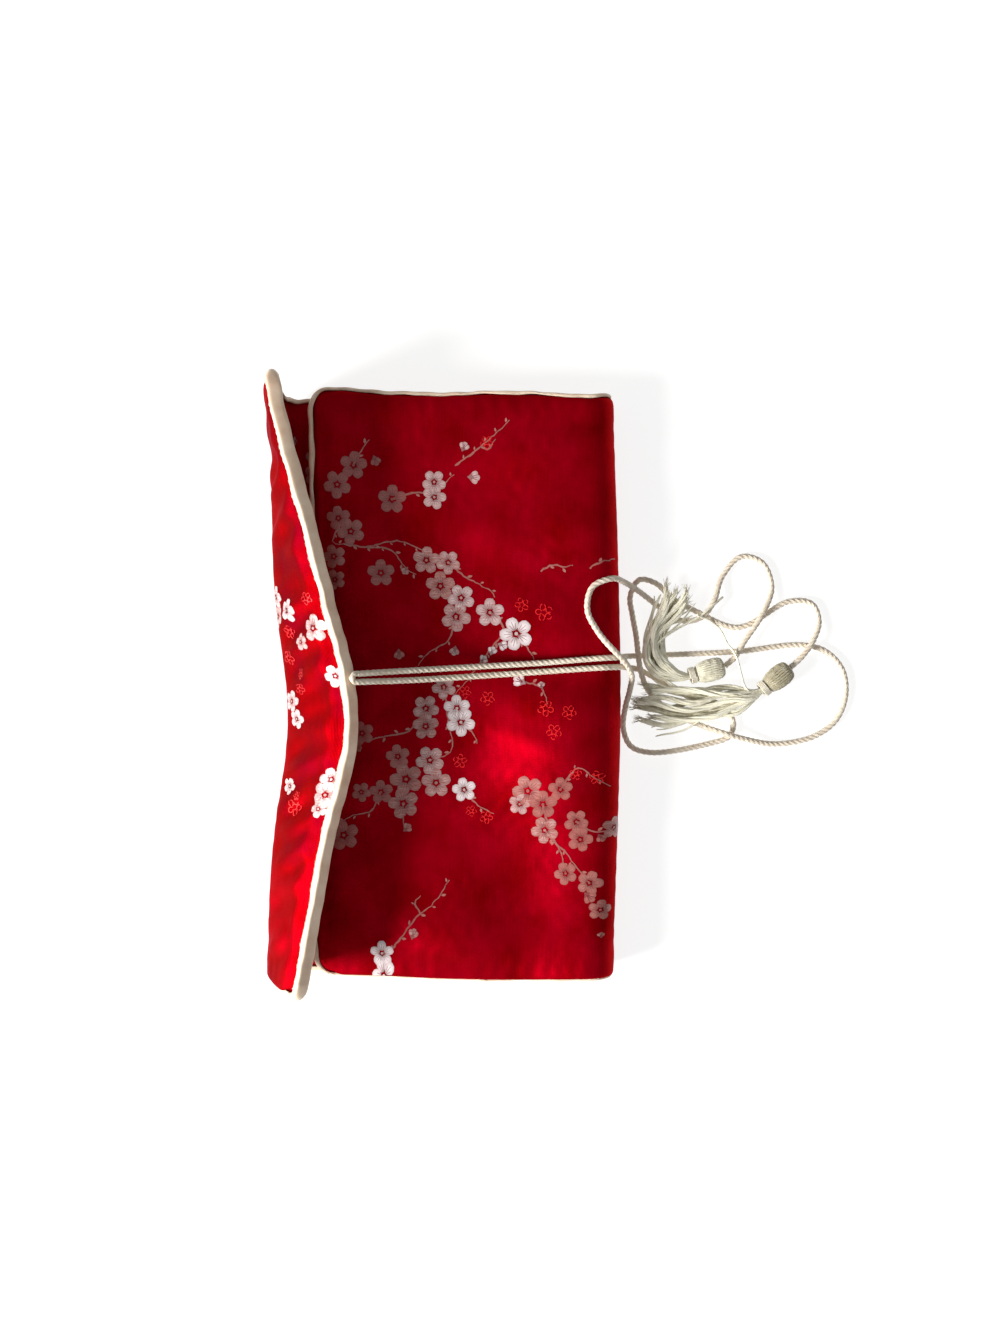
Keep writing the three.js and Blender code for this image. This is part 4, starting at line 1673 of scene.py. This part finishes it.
def outline_stations():
    """Places round the sheet's outline with the ways up and out, and what kind of edge each is on."""
    rows, w, y, _ = sheet_grid()
    nr, nc = w.shape
    order = [(0, j) for j in range(nc)]
    order += [(i, nc - 1) for i in range(1, nr)]
    order += [(nr - 1, j) for j in range(nc - 2, -1, -1)]
    order += [(i, 0) for i in range(nr - 2, 0, -1)]
    i, j = np.array(order).T
    ww, yy = w[i, j], y[i, j]
    r = np.array([corner_radius(rows[k]) for k in i])
    d = np.minimum(r, np.array([end_distance(rows[k]) for k in i]))
    side = np.minimum(r, HALF_Y - np.abs(yy))
    sign = np.array([-1.0 if rows[k][0] == "front" else 1.0 for k in i])
    up = face_normal(ww, yy)
    lengthwise = lengthways(ww, yy)
    across = unit(np.cross(lengthwise, up))
    out = across * ((r - d) * sign)[:, None]
    out = unit(out + lengthwise * ((r - side) * np.sign(yy))[:, None])
    far = np.hypot(r - side, np.maximum(r - d, 1e-6))
    sideways = smooth(0.5, 0.95, (r - side) / far)
    front = smooth(0.5, 0.95, (r - d) / far) * (sign < 0.0)
    tip = sideways * smooth(4.0, 4.4, ww)
    return surface(ww, yy), up, out, sideways, front, tip


def binding_half(edge, swell, tip):
    """Half of the binding's section, from its free edge round to its turn: distances out and up."""
    flat = np.ones_like(swell)
    return [
        (edge, 1.9 * flat),
        (edge + 0.12, 2.42 * flat),
        (edge + 0.5, 2.68 * swell),
        (0.3 * flat, BIND_HALF * swell - 0.2 * tip),
        (0.82 * swell + 0.5 * tip, 2.45 * swell - 0.6 * tip),
        (1.06 * swell + 1.0 * tip, 1.9 * flat - 0.7 * tip),
        (1.1 * swell + 1.3 * tip, 0.65 * flat - 0.2 * tip),
    ]


class ROLL_OT_binding(bpy.types.Operator):
    """Bind the sheet's whole edge in a turned strip of ivory satin, with its row of stitches"""

    bl_idname = "roll.binding"
    bl_label = "Binding"

    def execute(self, context):
        settings = context.scene.roll_cloth
        place, up, out, sideways, front, tip = outline_stations()
        gone = distance_along(place)
        still = 0.0 * gone
        uneven = noise_wave(gone * 0.33, still, 3)
        lap = -BIND_LAP + LAP_UNEVEN * uneven + 1.7 * sideways + 1.3 * front
        back = -BIND_LAP - LAP_UNEVEN * uneven + 1.3 * sideways
        swell = 1.0 + 0.05 * noise_wave(gone * 0.5, still, 8)
        place = place + out * BIND_UNEVEN * noise_wave(gone * 0.62, still, 23)[:, None]
        place = place + up * BIND_UNEVEN * noise_wave(gone * 0.55, still, 31)[:, None]
        section = binding_half(lap, swell, tip)
        section += [(o, -u) for o, u in reversed(binding_half(back, swell, tip))]
        section += [(0.36 + still, u + still) for u in (-1.86, 1.86)]
        o = np.stack([a for a, _ in section], axis=1)
        h = np.stack([b for _, b in section], axis=1)
        points = place[:, None, :] + out[:, None, :] * o[..., None] + up[:, None, :] * h[..., None]
        points[..., 2] = np.maximum(points[..., 2], TABLE_GAP)
        piece = add_piece("satin_binding", points.reshape(-1, 3), tube_faces(*o.shape, closed=True))
        width = np.broadcast_to(np.arange(o.shape[1])[None, :] * 0.8 * MM, o.shape)
        along = np.broadcast_to(gone[:, None] * MM, o.shape)
        set_uv(piece, "strip", np.stack([along.ravel(), width.ravel()], axis=1))
        refine(piece, 1)
        tones = settings.binding_deep, settings.binding_bright
        paint(piece, satin_material("ivory satin", *tones, "strip"))
        declare(piece, "binding_satin", "edge_binding")
        self.stitches(place, up, out, gone, lap, back)
        return {"FINISHED"}

    def stitches(self, place, up, out, gone, lap, back):
        """A row of stitches beside the binding's free edge on each face."""
        ahead = np.roll(place, -1, axis=0) - place
        places, ways = [], []
        for side, edge in ((1.0, lap), (-1.0, back)):
            for at in np.arange(1.0, gone[-1], BIND_STITCH_STEP):
                i = min(len(place) - 1, int(np.searchsorted(gone, at)))
                places.append(place[i] + out[i] * (edge[i] + 0.45) + up[i] * side * BIND_STITCH_UP)
                ways.append(ahead[i])
        thread = plain_thread_material("ivory sewing thread", (0.8, 0.74, 0.62))
        sew("binding_stitches", places, ways, BIND_STITCH, thread, "binding_satin")


def turned(r, t, turn):
    """A place r out and t across, turned about the origin."""
    return r * math.cos(turn) - t * math.sin(turn), r * math.sin(turn) + t * math.cos(turn)


class Motif:
    """Flat woven shape: its points, its faces and the share of red weft at each point."""

    def __init__(self):
        self.points = []
        self.faces = []
        self.red = []

    def add(self, points, red):
        """Adds points with one share of red, and gives the first one's number."""
        first = len(self.points)
        self.points.extend(points)
        self.red.extend([red] * len(points))
        return first

    def patch(self, places, height, red):
        """One face with its corners in order."""
        first = self.add([(x, y, height) for x, y in places], red)
        self.faces.append(tuple(range(first, first + len(places))))

    def petal(self, centre, radial, tangent, turn, steps, rise=0.0):
        """One petal: an oval fan with a notch at its end, high in the middle."""
        first = self.add([(centre * math.cos(turn), centre * math.sin(turn), 1.0 + rise)], 0.0)
        rim = []
        for k in range(steps):
            a = FULL_TURN * k / steps
            r = centre + radial * math.cos(a) * (1.0 - 0.1 * math.exp(-((a / 0.5) ** 2)))
            rim.append((*turned(r, tangent * math.sin(a), turn), 0.35 + rise))
        self.add(rim, 0.45)
        for k in range(steps):
            self.faces.append((first, first + 1 + k, first + 1 + (k + 1) % steps))

    def stroke(self, start, end, width, height, red):
        """Thin straight line."""
        (x0, y0), (x1, y1) = start, end
        dx, dy = x1 - x0, y1 - y0
        size = math.hypot(dx, dy)
        nx, ny = -dy / size * width / 2, dx / size * width / 2
        corners = ((x0 + nx, y0 + ny), (x0 - nx, y0 - ny), (x1 - nx, y1 - ny), (x1 + nx, y1 + ny))
        self.patch(corners, height, red)

    def piece(self, name):
        """The shape as a piece whose unit is a metre."""
        piece = add_piece(name, np.array(self.points) / MM, self.faces)
        set_numbers(piece, "stamen", self.red)
        return piece


def petal_turn(k):
    """Way of one of a blossom's five petals."""
    return FULL_TURN * k / 5 + math.pi / 2


def blossom_shape():
    """Open plum blossom of five petals, with red stamens over them."""
    motif = Motif()
    for k in range(5):
        motif.petal(0.3, 0.2, 0.184, petal_turn(k), 11, 0.12 * (k % 2))
        for bend, reach in ((-0.3, 0.3), (0.0, 0.36), (0.3, 0.3)):
            x, y = turned(1.0, 0.0, petal_turn(k) + bend)
            motif.stroke((0.1 * x, 0.1 * y), (reach * x, reach * y), 0.014, 1.3, 0.85)
    motif.patch([turned(0.055, 0.0, FULL_TURN * k / 6) for k in range(6)], 1.35, 0.5)
    return motif.piece("blossom shape")


def side_shape():
    """Half-open blossom from the side: three petals over a red cup."""
    motif = Motif()
    for bend, size in ((0.0, 1.0), (0.75, 0.85), (-0.75, 0.85)):
        motif.petal(0.22 * size, 0.24, 0.17 * size, math.pi / 2 + bend, 9)
    for bend in (-0.4, 0.0, 0.4):
        motif.stroke((0.0, -0.05), turned(0.3, 0.0, math.pi / 2 + bend), 0.03, 1.3, 1.0)
    motif.patch(((-0.17, 0.02), (0.0, -0.2), (0.17, 0.02), (0.0, 0.08)), 1.35, 0.75)
    return motif.piece("side blossom shape")


def outline_shape():
    """Small blossom drawn as a thin outline with breaks in it."""
    motif = Motif()
    steps = 9
    for k in range(5):
        rings = []
        for grow in (1.0, 0.7):
            for j in range(steps):
                a = FULL_TURN * j / steps
                r = 0.24 + 0.16 * grow * math.cos(a)
                rings.append((*turned(r, 0.14 * grow * math.sin(a), petal_turn(k)), 0.6))
        first = motif.add(rings, 0.0)
        for j in range(steps):
            m = (j + 1) % steps
            if (2 * j + 3 * k) % 5 > 0:
                motif.faces.append((first + j, first + m, first + steps + m, first + steps + j))
    return motif.piece("outline blossom shape")


def front_to_cloth(x, y):
    """Cloth coordinates of a place on the front panel."""
    return STRETCH[0] * (x - FRONT_EDGE_X) / (right_fold_x(np.float64(y)) - FRONT_EDGE_X), y


def wrap(y):
    """The same place along the roll, brought back between its two ends."""
    return (y + HALF_Y) % (2 * HALF_Y) - HALF_Y


def repeated(s, y, size, step, inside=0.0):
    """A motif's place and size one step of the pattern away."""
    return inside + s + step[0], wrap(y + step[1]), size


def motif_places(front, flap=()):
    """Places of a motif over the whole cloth: front as seen, then the repeat on the hidden faces."""
    places = []
    for x, y, size, *silver in front:
        s, _ = front_to_cloth(x, y)
        places.append((s, y, size, *silver))
        places.append(repeated(s, y, size, OUTER_REPEAT))
        if EDGE_REPEAT_TO < s < MIDDLE_REPEAT_TO:
            places.append(repeated(s, y, size, MIDDLE_REPEAT, INSIDE / MM))
        if s < EDGE_REPEAT_TO:
            places.append(repeated(s, y, size, EDGE_REPEAT, INSIDE / MM))
    return [p for p in places if not FLAP_FROM < p[0] < FLAP_TO] + list(flap)


def silver_with_painted_light(places, rng):
    """Share of silver at each motif, as painted light: least near the front edge where the flap's shadow
    falls, most in the lit middle and on the lit flap; a listed share is a painted highlight.
    """
    s = np.array([p[0] for p in places])
    # Painted shade near the front edge, painted light in the middle, less again towards the right fold.
    front = 0.08 + 0.36 * smooth(26.0, 50.0, s) - 0.22 * smooth(70.0, 100.0, s)
    painted_share = np.where((s > FLAP_FROM) & (s < FLAP_TO), 0.48, front)
    painted_share = np.clip(painted_share + rng.uniform(-0.1, 0.12, len(places)), 0.0, 1.0)
    return [p[3] if len(p) > 3 else share for p, share in zip(places, painted_share)]


class ROLL_OT_blossoms(bpy.types.Operator):
    """Weave the plum blossoms, buds and twigs over the brocade"""

    bl_idname = "roll.blossoms"
    bl_label = "Woven pattern"

    def execute(self, context):
        settings = context.scene.roll_pattern
        rng = np.random.default_rng(21)
        silver = silver_material(settings.silver)
        red = red_thread_material(settings.red)
        for name, shape, places, material in (
            ("woven_blossoms", blossom_shape, motif_places(BLOSSOMS, FLAP_BLOSSOMS), silver),
            ("woven_half_blossoms", side_shape, motif_places(SIDE_BLOSSOMS), silver),
            ("woven_red_blossoms", outline_shape, motif_places(OUTLINES, FLAP_OUTLINES), red),
        ):
            self.scatter(name, shape(), places, rng, material, settings)
        self.twigs(rng, silver, settings)
        return {"FINISHED"}

    def scatter(self, name, shape, places, rng, material, settings):
        """Lays one motif at all its places on the brocade."""
        piece = add_piece(name, [(p[0], p[1], 0.0) for p in places], [])
        set_numbers(piece, "size", [MOTIF_SCALE * p[2] * MM for p in places])
        set_numbers(piece, "turn", rng.uniform(0, FULL_TURN, len(places)))
        # The silver share carries painted light and painted highlights.
        set_numbers(piece, "silver", silver_with_painted_light(places, rng))
        apply_tree(
            piece,
            motif_tree(),
            motif=shape,
            cloth=take("brocade_panel"),
            relief=settings.relief,
            lift=settings.lift,
            material=material,
        )
        bpy.data.objects.remove(shape, do_unlink=True)
        declare(piece, "brocade")

    def twigs(self, rng, material, settings):
        """Draws the twigs in view and their repeat, and lays them on the brocade."""
        motif = Motif()
        for chain in TWIGS:
            flat = np.array([(*front_to_cloth(x, y), 0.0) for x, y in chain])
            away = flat + (*OUTER_REPEAT, 0.0)
            away[:, 1] -= np.where(flat[:, 1] < 50.0, 0.0, 2 * HALF_Y)
            for line in (flat, away):
                if np.all(np.abs(line[:, 1]) <= HALF_Y - 2.0):
                    self.twig(even_steps(catmull_rom(line, 1.5), 1.4), motif, rng)
        points = np.array(motif.points)
        points[:, 2] = TWIG_HEIGHT
        piece = add_piece("woven_twigs", points, motif.faces)
        set_numbers(piece, "stamen", motif.red)
        set_numbers(piece, "silver", np.full(len(motif.red), TWIG_SILVER))
        cloth = take("brocade_panel")
        apply_tree(piece, strip_tree(), cloth=cloth, lift=settings.lift, material=material)
        declare(piece, "brocade")

    def twig(self, line, motif, rng):
        """A tapering uneven strip with a bud at every fourth point."""
        line[:, :2] += rng.uniform(-0.25, 0.25, (len(line), 2))
        way = unit(np.gradient(line, axis=0))
        side = np.stack([-way[:, 1], way[:, 0], 0 * way[:, 0]], axis=1)
        taper = np.linspace(*TWIG_R, len(line)) * rng.uniform(0.7, 1.3, len(line))
        edge = side * taper[:, None]
        first = motif.add(np.stack([line + edge, line - edge], axis=1).reshape(-1, 3), 0.35)
        for a in range(first, first + 2 * (len(line) - 1), 2):
            motif.faces.append((a + 1, a + 3, a + 2, a))
        for k in range(3, len(line) - 1, 4):
            self.bud(line[k], way[k], side[k] * rng.choice((-1.0, 1.0)), motif, rng)

    def bud(self, place, way, side, motif, rng):
        """Small pointed bud beside a twig."""
        size = rng.uniform(0.7, 1.2)
        aim = unit(way + side * rng.uniform(0.7, 1.4))
        wide = np.array([-aim[1], aim[0], 0.0])
        foot = place + side * 0.3
        first = motif.add([foot], 0.6)
        corners = ((0.7, -0.45), (1.4, -0.4), (2.0, 0.0), (1.4, 0.4), (0.7, 0.45))
        motif.add([foot + aim * a * size + wide * b * size for a, b in corners], 0.1)
        motif.faces.append(tuple(range(first, first + 6)))


class ROLL_OT_pockets(bpy.types.Operator):
    """Sew the two plain slip pockets to the inner faces"""

    bl_idname = "roll.pockets"
    bl_label = "Slip pockets"

    def execute(self, context):
        settings = context.scene.roll_cloth
        tones = settings.lining_deep, settings.lining_bright
        material = brocade_material("plain red lining satin", *tones)
        thread = plain_thread_material("red sewing thread", (0.4, 0.01, 0.02))
        for name, node, sewn, mouth in (
            ("middle_slip_pocket", "middle_pocket", 2.86, 2.16),
            ("front_slip_pocket", "front_pocket", 0.2, 0.84),
        ):
            self.pocket(name, node, sewn, mouth, material)
            self.stitches(name, sewn, mouth, thread)
        return {"FINISHED"}

    def pocket(self, name, node, sewn, mouth, material):
        """One flat pocket with a hem at its mouth, rippled a little where it is loose."""
        hem_rows = (0.935, 0.95, 0.96, 0.98, 0.992, 1.0)
        share = np.concatenate([np.linspace(0.0, 0.92, 34), hem_rows])
        columns = np.linspace(-POCKET_HALF_Y, POCKET_HALF_Y, 71) * math.copysign(1.0, mouth - sewn)
        w = np.broadcast_to((sewn + (mouth - sewn) * share)[:, None], (len(share), len(columns)))
        y = np.broadcast_to(columns[None, :], w.shape)
        up = face_normal(w, y)
        middle = surface(w, y)
        hem = smooth(0.93, 0.955, share)[:, None] * (1.0 - smooth(0.985, 1.0, share)[:, None] * 0.5)
        loose = smooth(0.0, 0.5, share)[:, None] * smooth(POCKET_HALF_Y, 80.0, np.abs(y))
        ripple = 0.12 * loose * noise_wave(y / 9.0, share[:, None] * 6.0, 12)
        thick = POCKET_CLOTH + POCKET_HEM * hem + ripple
        near = middle - up * (HALF_PAD + POCKET_GAP)
        far = near - up * thick[..., None]
        points = np.concatenate([near.reshape(-1, 3), far.reshape(-1, 3)])
        piece = add_piece(name, points, grid_faces(*w.shape))
        set_uv(piece, "cloth", cloth_uv(w, y))
        paint(piece, material)
        declare(piece, "lining", node)

    def stitches(self, name, sewn, mouth, thread):
        """Rows of stitches down both sides, along the sewn end and along the hem."""
        down = sewn + (mouth - sewn) * np.arange(0.02, 0.92, 0.032)
        ends = sewn + (mouth - sewn) * np.array((0.018, 0.925))
        sides = [(w, side * (POCKET_HALF_Y - 1.4)) for side in (-1, 1) for w in down]
        across = [(w, y) for w in ends for y in np.arange(-93.0, 94.0, POCKET_STITCH_STEP)]
        ways = [surface(w + 0.02, y) - surface(w, y) for w, y in sides]
        ways += [lengthways(w, y) for w, y in across]
        places = [surface(w, y) - face_normal(w, y) * (HALF_PAD + 1.0) for w, y in sides + across]
        sew(f"{name}_stitches", places, ways, POCKET_STITCH, thread, "lining")


def stand(piece, top, way):
    """Turns a piece's own mesh from the upright axis to a tassel's way, and moves it to its top."""
    turn = Vector(UPRIGHT).rotation_difference(Vector(way).normalized()).to_matrix().to_4x4()
    turn.translation = Vector(top) * MM
    piece.data.transform(turn)
    piece.data.update()


def thin_end(count):
    """Share of a strand's thickness at its points: the last five taper."""
    return 1.0 - 0.4 * smooth(count - 5, count, np.arange(count))


def keep_above(track, height):
    """Lifts a strand's points that lie too low."""
    track[:, 2] = np.maximum(track[:, 2], height)


class Skirt:
    """Strands of one tassel's skirt, drawn as lines beside its middle line."""

    def __init__(self, number, tassel):
        way = unit(np.array(tassel["way"]))
        neck = np.array(tassel["top"]) + way * (HEAD_LENGTH - 0.6)
        middle = [neck, neck + way * 4.4] + [np.array(p[:3]) for p in tassel["skirt"]]
        wide = [NECK_R, 2.0] + [p[3] for p in tassel["skirt"]]
        high = [NECK_R, 2.0] + [p[4] for p in tassel["skirt"]]
        self.rng = np.random.default_rng(40 + number)
        self.line = catmull_rom(middle, 1.0)
        self.gone = distance_along(self.line)
        knots = [self.gone[np.argmin(np.linalg.norm(self.line - p, axis=1))] for p in middle]
        self.half_wide = np.interp(self.gone, knots, wide)
        self.half_high = np.interp(self.gone, knots, high)
        self.tangent = unit(np.gradient(self.line, axis=0))
        self.across = unit(np.cross(UPRIGHT, self.tangent))
        self.up = np.cross(self.tangent, self.across)
        self.points = []
        self.edges = []
        self.thick = []
        self.tone = []

    def strand(self, track, radius, tone):
        """Adds one line with its half thickness at each point."""
        base = len(self.points)
        self.points.extend(track)
        self.edges.extend((base + k, base + k + 1) for k in range(len(track) - 1))
        self.thick.extend(radius * MM)
        self.tone.extend([tone] * len(track))

    def beside(self, sideways, upwards):
        """A line so far beside and above the middle line."""
        stop = len(sideways)
        aside = self.across[:stop] * sideways[:, None]
        return self.line[:stop] + aside + self.up[:stop] * upwards[:, None]

    def wave(self, here, slow, fast):
        """Wave along the skirt with a chance pitch and start."""
        return np.sin(here * self.rng.uniform(slow, fast) + self.rng.uniform(0, 6.3))

    def lock(self, side, level, tone, yarns):
        """Yarns that wander down the skirt together, twisted round each other."""
        rng = self.rng
        stop = int(len(self.line) * rng.uniform(0.84, 1.0))
        here = self.gone[:stop]
        grow = smooth(4.0, 16.0, here)
        drift = side + rng.uniform(-0.25, 0.25) * (here / self.gone[-1]) ** 2
        wander = 1.2 * grow * self.wave(here, 0.13, 0.24)
        sideways = np.maximum(self.half_wide[:stop] - 1.2, 0.5) * drift + wander
        curl = 0.5 * grow * self.wave(here, 0.15, 0.3)
        upwards = np.maximum(self.half_high[:stop] - 1.2, 0.5) * level + curl
        for k in range(yarns):
            turn = FULL_TURN * k / yarns + 0.14 * here + rng.uniform(0, 0.8)
            apart = (0.25 + 0.45 * grow) * rng.uniform(0.8, 1.15)
            track = self.beside(sideways + apart * np.cos(turn), upwards + apart * np.sin(turn))
            radius = rng.uniform(*YARN_R) * (0.6 + 0.4 * grow) * thin_end(stop)
            keep_above(track, radius + 0.1)
            # The lock's tone is painted shade for low locks and painted light for high ones.
            self.strand(track, radius, 0.16 + tone + rng.uniform(-0.06, 0.06))
            self.frayed_end(track[-1], self.tangent[stop - 1])

    def frayed_end(self, end, way):
        """Fine hairs at a yarn's cut end."""
        rng = self.rng
        share = np.linspace(0, 1, HAIR_POINTS)
        for _ in range(HAIRS):
            tip = end + rng.uniform(-0.3, 0.3, 3)
            aim = unit(way + rng.uniform(-0.6, 0.6, 3) * [1, 1, 0.5])
            hair = tip + np.outer(np.linspace(-0.3, 1.0, HAIR_POINTS), aim) * rng.uniform(1.5, 4.0)
            hair[:, :2] += 0.4 * np.outer(share**2, rng.uniform(-1, 1, 2))
            keep_above(hair, 0.25)
            self.strand(hair, np.linspace(*HAIR_R, HAIR_POINTS), 0.0)

    def stray(self, side, leave):
        """A single yarn that leaves the skirt to one side."""
        rng = self.rng
        stop = int(len(self.line) * rng.uniform(0.8, 0.98))
        here = self.gone[:stop]
        away = side * smooth(leave * self.gone[-1], 1.1 * self.gone[-1], here)
        wave = self.wave(here, 0.2, 0.3)
        sideways = self.half_wide[:stop] * (0.6 * math.copysign(1.0, side) + away)
        sideways = (sideways + 0.9 * wave) * smooth(1.0, 16.0, here)
        track = self.beside(sideways, self.half_high[:stop] * (0.3 - 0.9 * np.abs(away)))
        radius = rng.uniform(*STRAY_R) * thin_end(stop)
        keep_above(track, radius + 0.1)
        self.strand(track, radius, rng.uniform(0.1, 0.35))


class ROLL_OT_tassels(bpy.types.Operator):
    """Make both tassels: the ribbed head, the wound neck and the skirt of loose strands"""

    bl_idname = "roll.tassels"
    bl_label = "Tassels"

    def execute(self, context):
        settings = context.scene.roll_cord
        tones = settings.yarn_deep, settings.yarn_bright
        yarn = yarn_material("cream tassel yarn", *tones, 7.0, 260.0, 0.32)
        thread = plain_thread_material("cream neck thread", (0.82, 0.76, 0.62))
        for number, tassel in TASSELS.items():
            self.head(number, tassel, settings.head_strands, yarn)
            self.tie(number, tassel, thread)
            self.skirt(number, tassel, settings.yarns, yarn)
        return {"FINISHED"}

    def head(self, number, tassel, strands, material):
        """Strands laid side by side over the head's rounded form; the second head is the darker."""
        profile = np.array([(r - HEAD_STRAND_INSET, 0.0, h) for r, h in HEAD_PROFILE])
        profile[:, 0] = np.maximum(profile[:, 0], 0.25)
        profile[0, 2] += HEAD_STRAND_INSET
        profile[1, 2] += 0.35
        line = catmull_rom(profile, 0.45)
        piece = rope(f"tassel_{number}_ribbed_head", line, HEAD_STRAND_R, 2, HEAD_STRAND_PITCH, 8)
        apply_tree(piece, round_tree(), count=strands, unevenness=0.05, seed=number, material=material)
        stand(piece, tassel["top"], tassel["way"])
        set_numbers(piece, "tone", np.full(len(piece.data.vertices), 0.3 - 0.24 * number))
        declare(piece, "tassel_yarn", f"tassel_{number}_head")

    def tie(self, number, tassel, material):
        """Thread wound round the neck below the head."""
        piece = add_piece(f"tassel_{number}_wound_neck", [(0, 0, 0)], [])
        sizes = {"turns": 5.0, "radius": 0.0031, "height": 0.0024, "thread": 0.00034}
        apply_tree(piece, winding_tree(), **sizes, material=material)
        way = unit(np.array(tassel["way"]))
        stand(piece, np.array(tassel["top"]) + way * (HEAD_LENGTH + 0.6), way)
        declare(piece, "tassel_thread", f"tassel_{number}_tie")

    def skirt(self, number, tassel, yarns, material):
        """Locks of yarn, stray yarns and the one loose yarn below the neck."""
        skirt = Skirt(number, tassel)
        for side, level, tone in LOCKS:
            skirt.lock(side, level, tone, yarns)
        for side, leave in STRAYS:
            skirt.stray(side, leave)
        track = catmull_rom(tassel["loose"], 1.0)
        skirt.strand(track, np.full(len(track), LOOSE_R), 0.2)
        piece = add_piece(f"tassel_{number}_skirt_strands", skirt.points, [], skirt.edges)
        set_numbers(piece, "thick", skirt.thick)
        set_numbers(piece, "tone", skirt.tone)
        apply_tree(piece, yarn_tree(), sides=8, material=material)
        declare(piece, "tassel_yarn", f"tassel_{number}_skirt")


class ROLL_OT_tell(bpy.types.Operator):
    """Work out each cord's middle line, without stating or keeping anything"""

    bl_idname = "roll.tell"
    bl_label = "Cord facts"

    def execute(self, context):
        settings = context.scene.roll_cord
        for name, route, number in (
            ("twisted_cord_upper", UPPER_ROUTE, 2),
            ("twisted_cord_lower", LOWER_ROUTE, 1),
        ):
            line = cord_line(route, settings.diameter)
        return {"FINISHED"}


def area_light(name, place, size, power, tint):
    """Round soft light that looks at the roll."""
    data = bpy.data.lights.new(name, "AREA")
    data.shape = "DISK"
    data.size = size
    data.energy = power
    data.color = tint
    lamp = bpy.data.objects.new(name, data)
    lamp.location = place
    lamp.rotation_mode = "QUATERNION"
    lamp.rotation_quaternion = (Vector(LIT_PLACE) - Vector(place)).to_track_quat("-Z", "Y")
    bpy.context.scene.collection.objects.link(lamp)


class ROLL_OT_stage(bpy.types.Operator):
    """Set the pale floor and the soft studio light from the left"""

    bl_idname = "roll.stage"
    bl_label = "Stage"

    def execute(self, context):
        settings = context.scene.roll_stage
        ways = ((-1, -1), (1, -1), (1, 1), (-1, 1))
        corners = [(x * FLOOR_HALF, y * FLOOR_HALF, FLOOR_Z) for x, y in ways]
        floor = add_piece("pale floor", corners, [(0, 1, 2, 3)])
        s = Shader("pale floor")
        s.set(Base_Color=(0.36, 0.36, 0.355, 1.0), Roughness=0.9)
        s.set(Emission_Color=(1.0, 1.0, 1.0, 1.0), Emission_Strength=0.8)
        paint(floor, s.material)
        area_light("window", (-1.0, -0.42, 0.6), 0.44, settings.key, (1.0, 0.985, 0.96))
        area_light("ceiling", (0.35, -0.5, 1.3), 1.2, 0.05 * settings.key, (1.0, 1.0, 1.0))
        world = bpy.data.worlds.new("soft surround")
        world.use_nodes = True
        back = world.node_tree.nodes["Background"]
        back.inputs["Color"].default_value = (1.0, 1.0, 1.0, 1.0)
        back.inputs["Strength"].default_value = settings.fill
        context.scene.world = world
        context.scene.view_settings.view_transform = "Standard"
        return {"FINISHED"}


class ROLL_PT_panel(bpy.types.Panel):
    """Buttons for each piece of the roll"""

    bl_label = "Brocade jewelry roll"
    bl_idname = "ROLL_PT_panel"
    bl_space_type = "VIEW_3D"
    bl_region_type = "UI"
    bl_category = "Roll"

    def draw(self, context):
        for name, _ in GROUPS:
            group = getattr(context.scene, name)
            box = self.layout.box()
            for key in group.__annotations__:
                box.prop(group, key)
        for step in OPERATORS:
            self.layout.operator(step.bl_idname)


OPERATORS = (
    ROLL_OT_camera,
    ROLL_OT_cords,
    ROLL_OT_panel,
    ROLL_OT_binding,
    ROLL_OT_blossoms,
    ROLL_OT_pockets,
    ROLL_OT_tassels,
    ROLL_OT_tell,
    ROLL_OT_stage,
)
GROUPS = (
    ("roll_cloth", RollClothSettings),
    ("roll_pattern", RollPatternSettings),
    ("roll_cord", RollCordSettings),
    ("roll_stage", RollStageSettings),
)


def register():
    for name, group in GROUPS:
        bpy.utils.register_class(group)
        setattr(bpy.types.Scene, name, PointerProperty(type=group))
    for step in OPERATORS:
        bpy.utils.register_class(step)
    bpy.utils.register_class(ROLL_PT_panel)


def unregister():
    bpy.utils.unregister_class(ROLL_PT_panel)
    for step in reversed(OPERATORS):
        bpy.utils.unregister_class(step)
    for name, group in reversed(GROUPS):
        delattr(bpy.types.Scene, name)
        bpy.utils.unregister_class(group)


def main():
    register()
    bpy.ops.roll.camera()
    bpy.ops.roll.cords()
    bpy.ops.roll.panel()
    bpy.ops.roll.binding()
    bpy.ops.roll.blossoms()
    bpy.ops.roll.pockets()
    bpy.ops.roll.tassels()
    bpy.ops.roll.tell()
    bpy.ops.roll.stage()


if __name__ == "__main__":
    main()
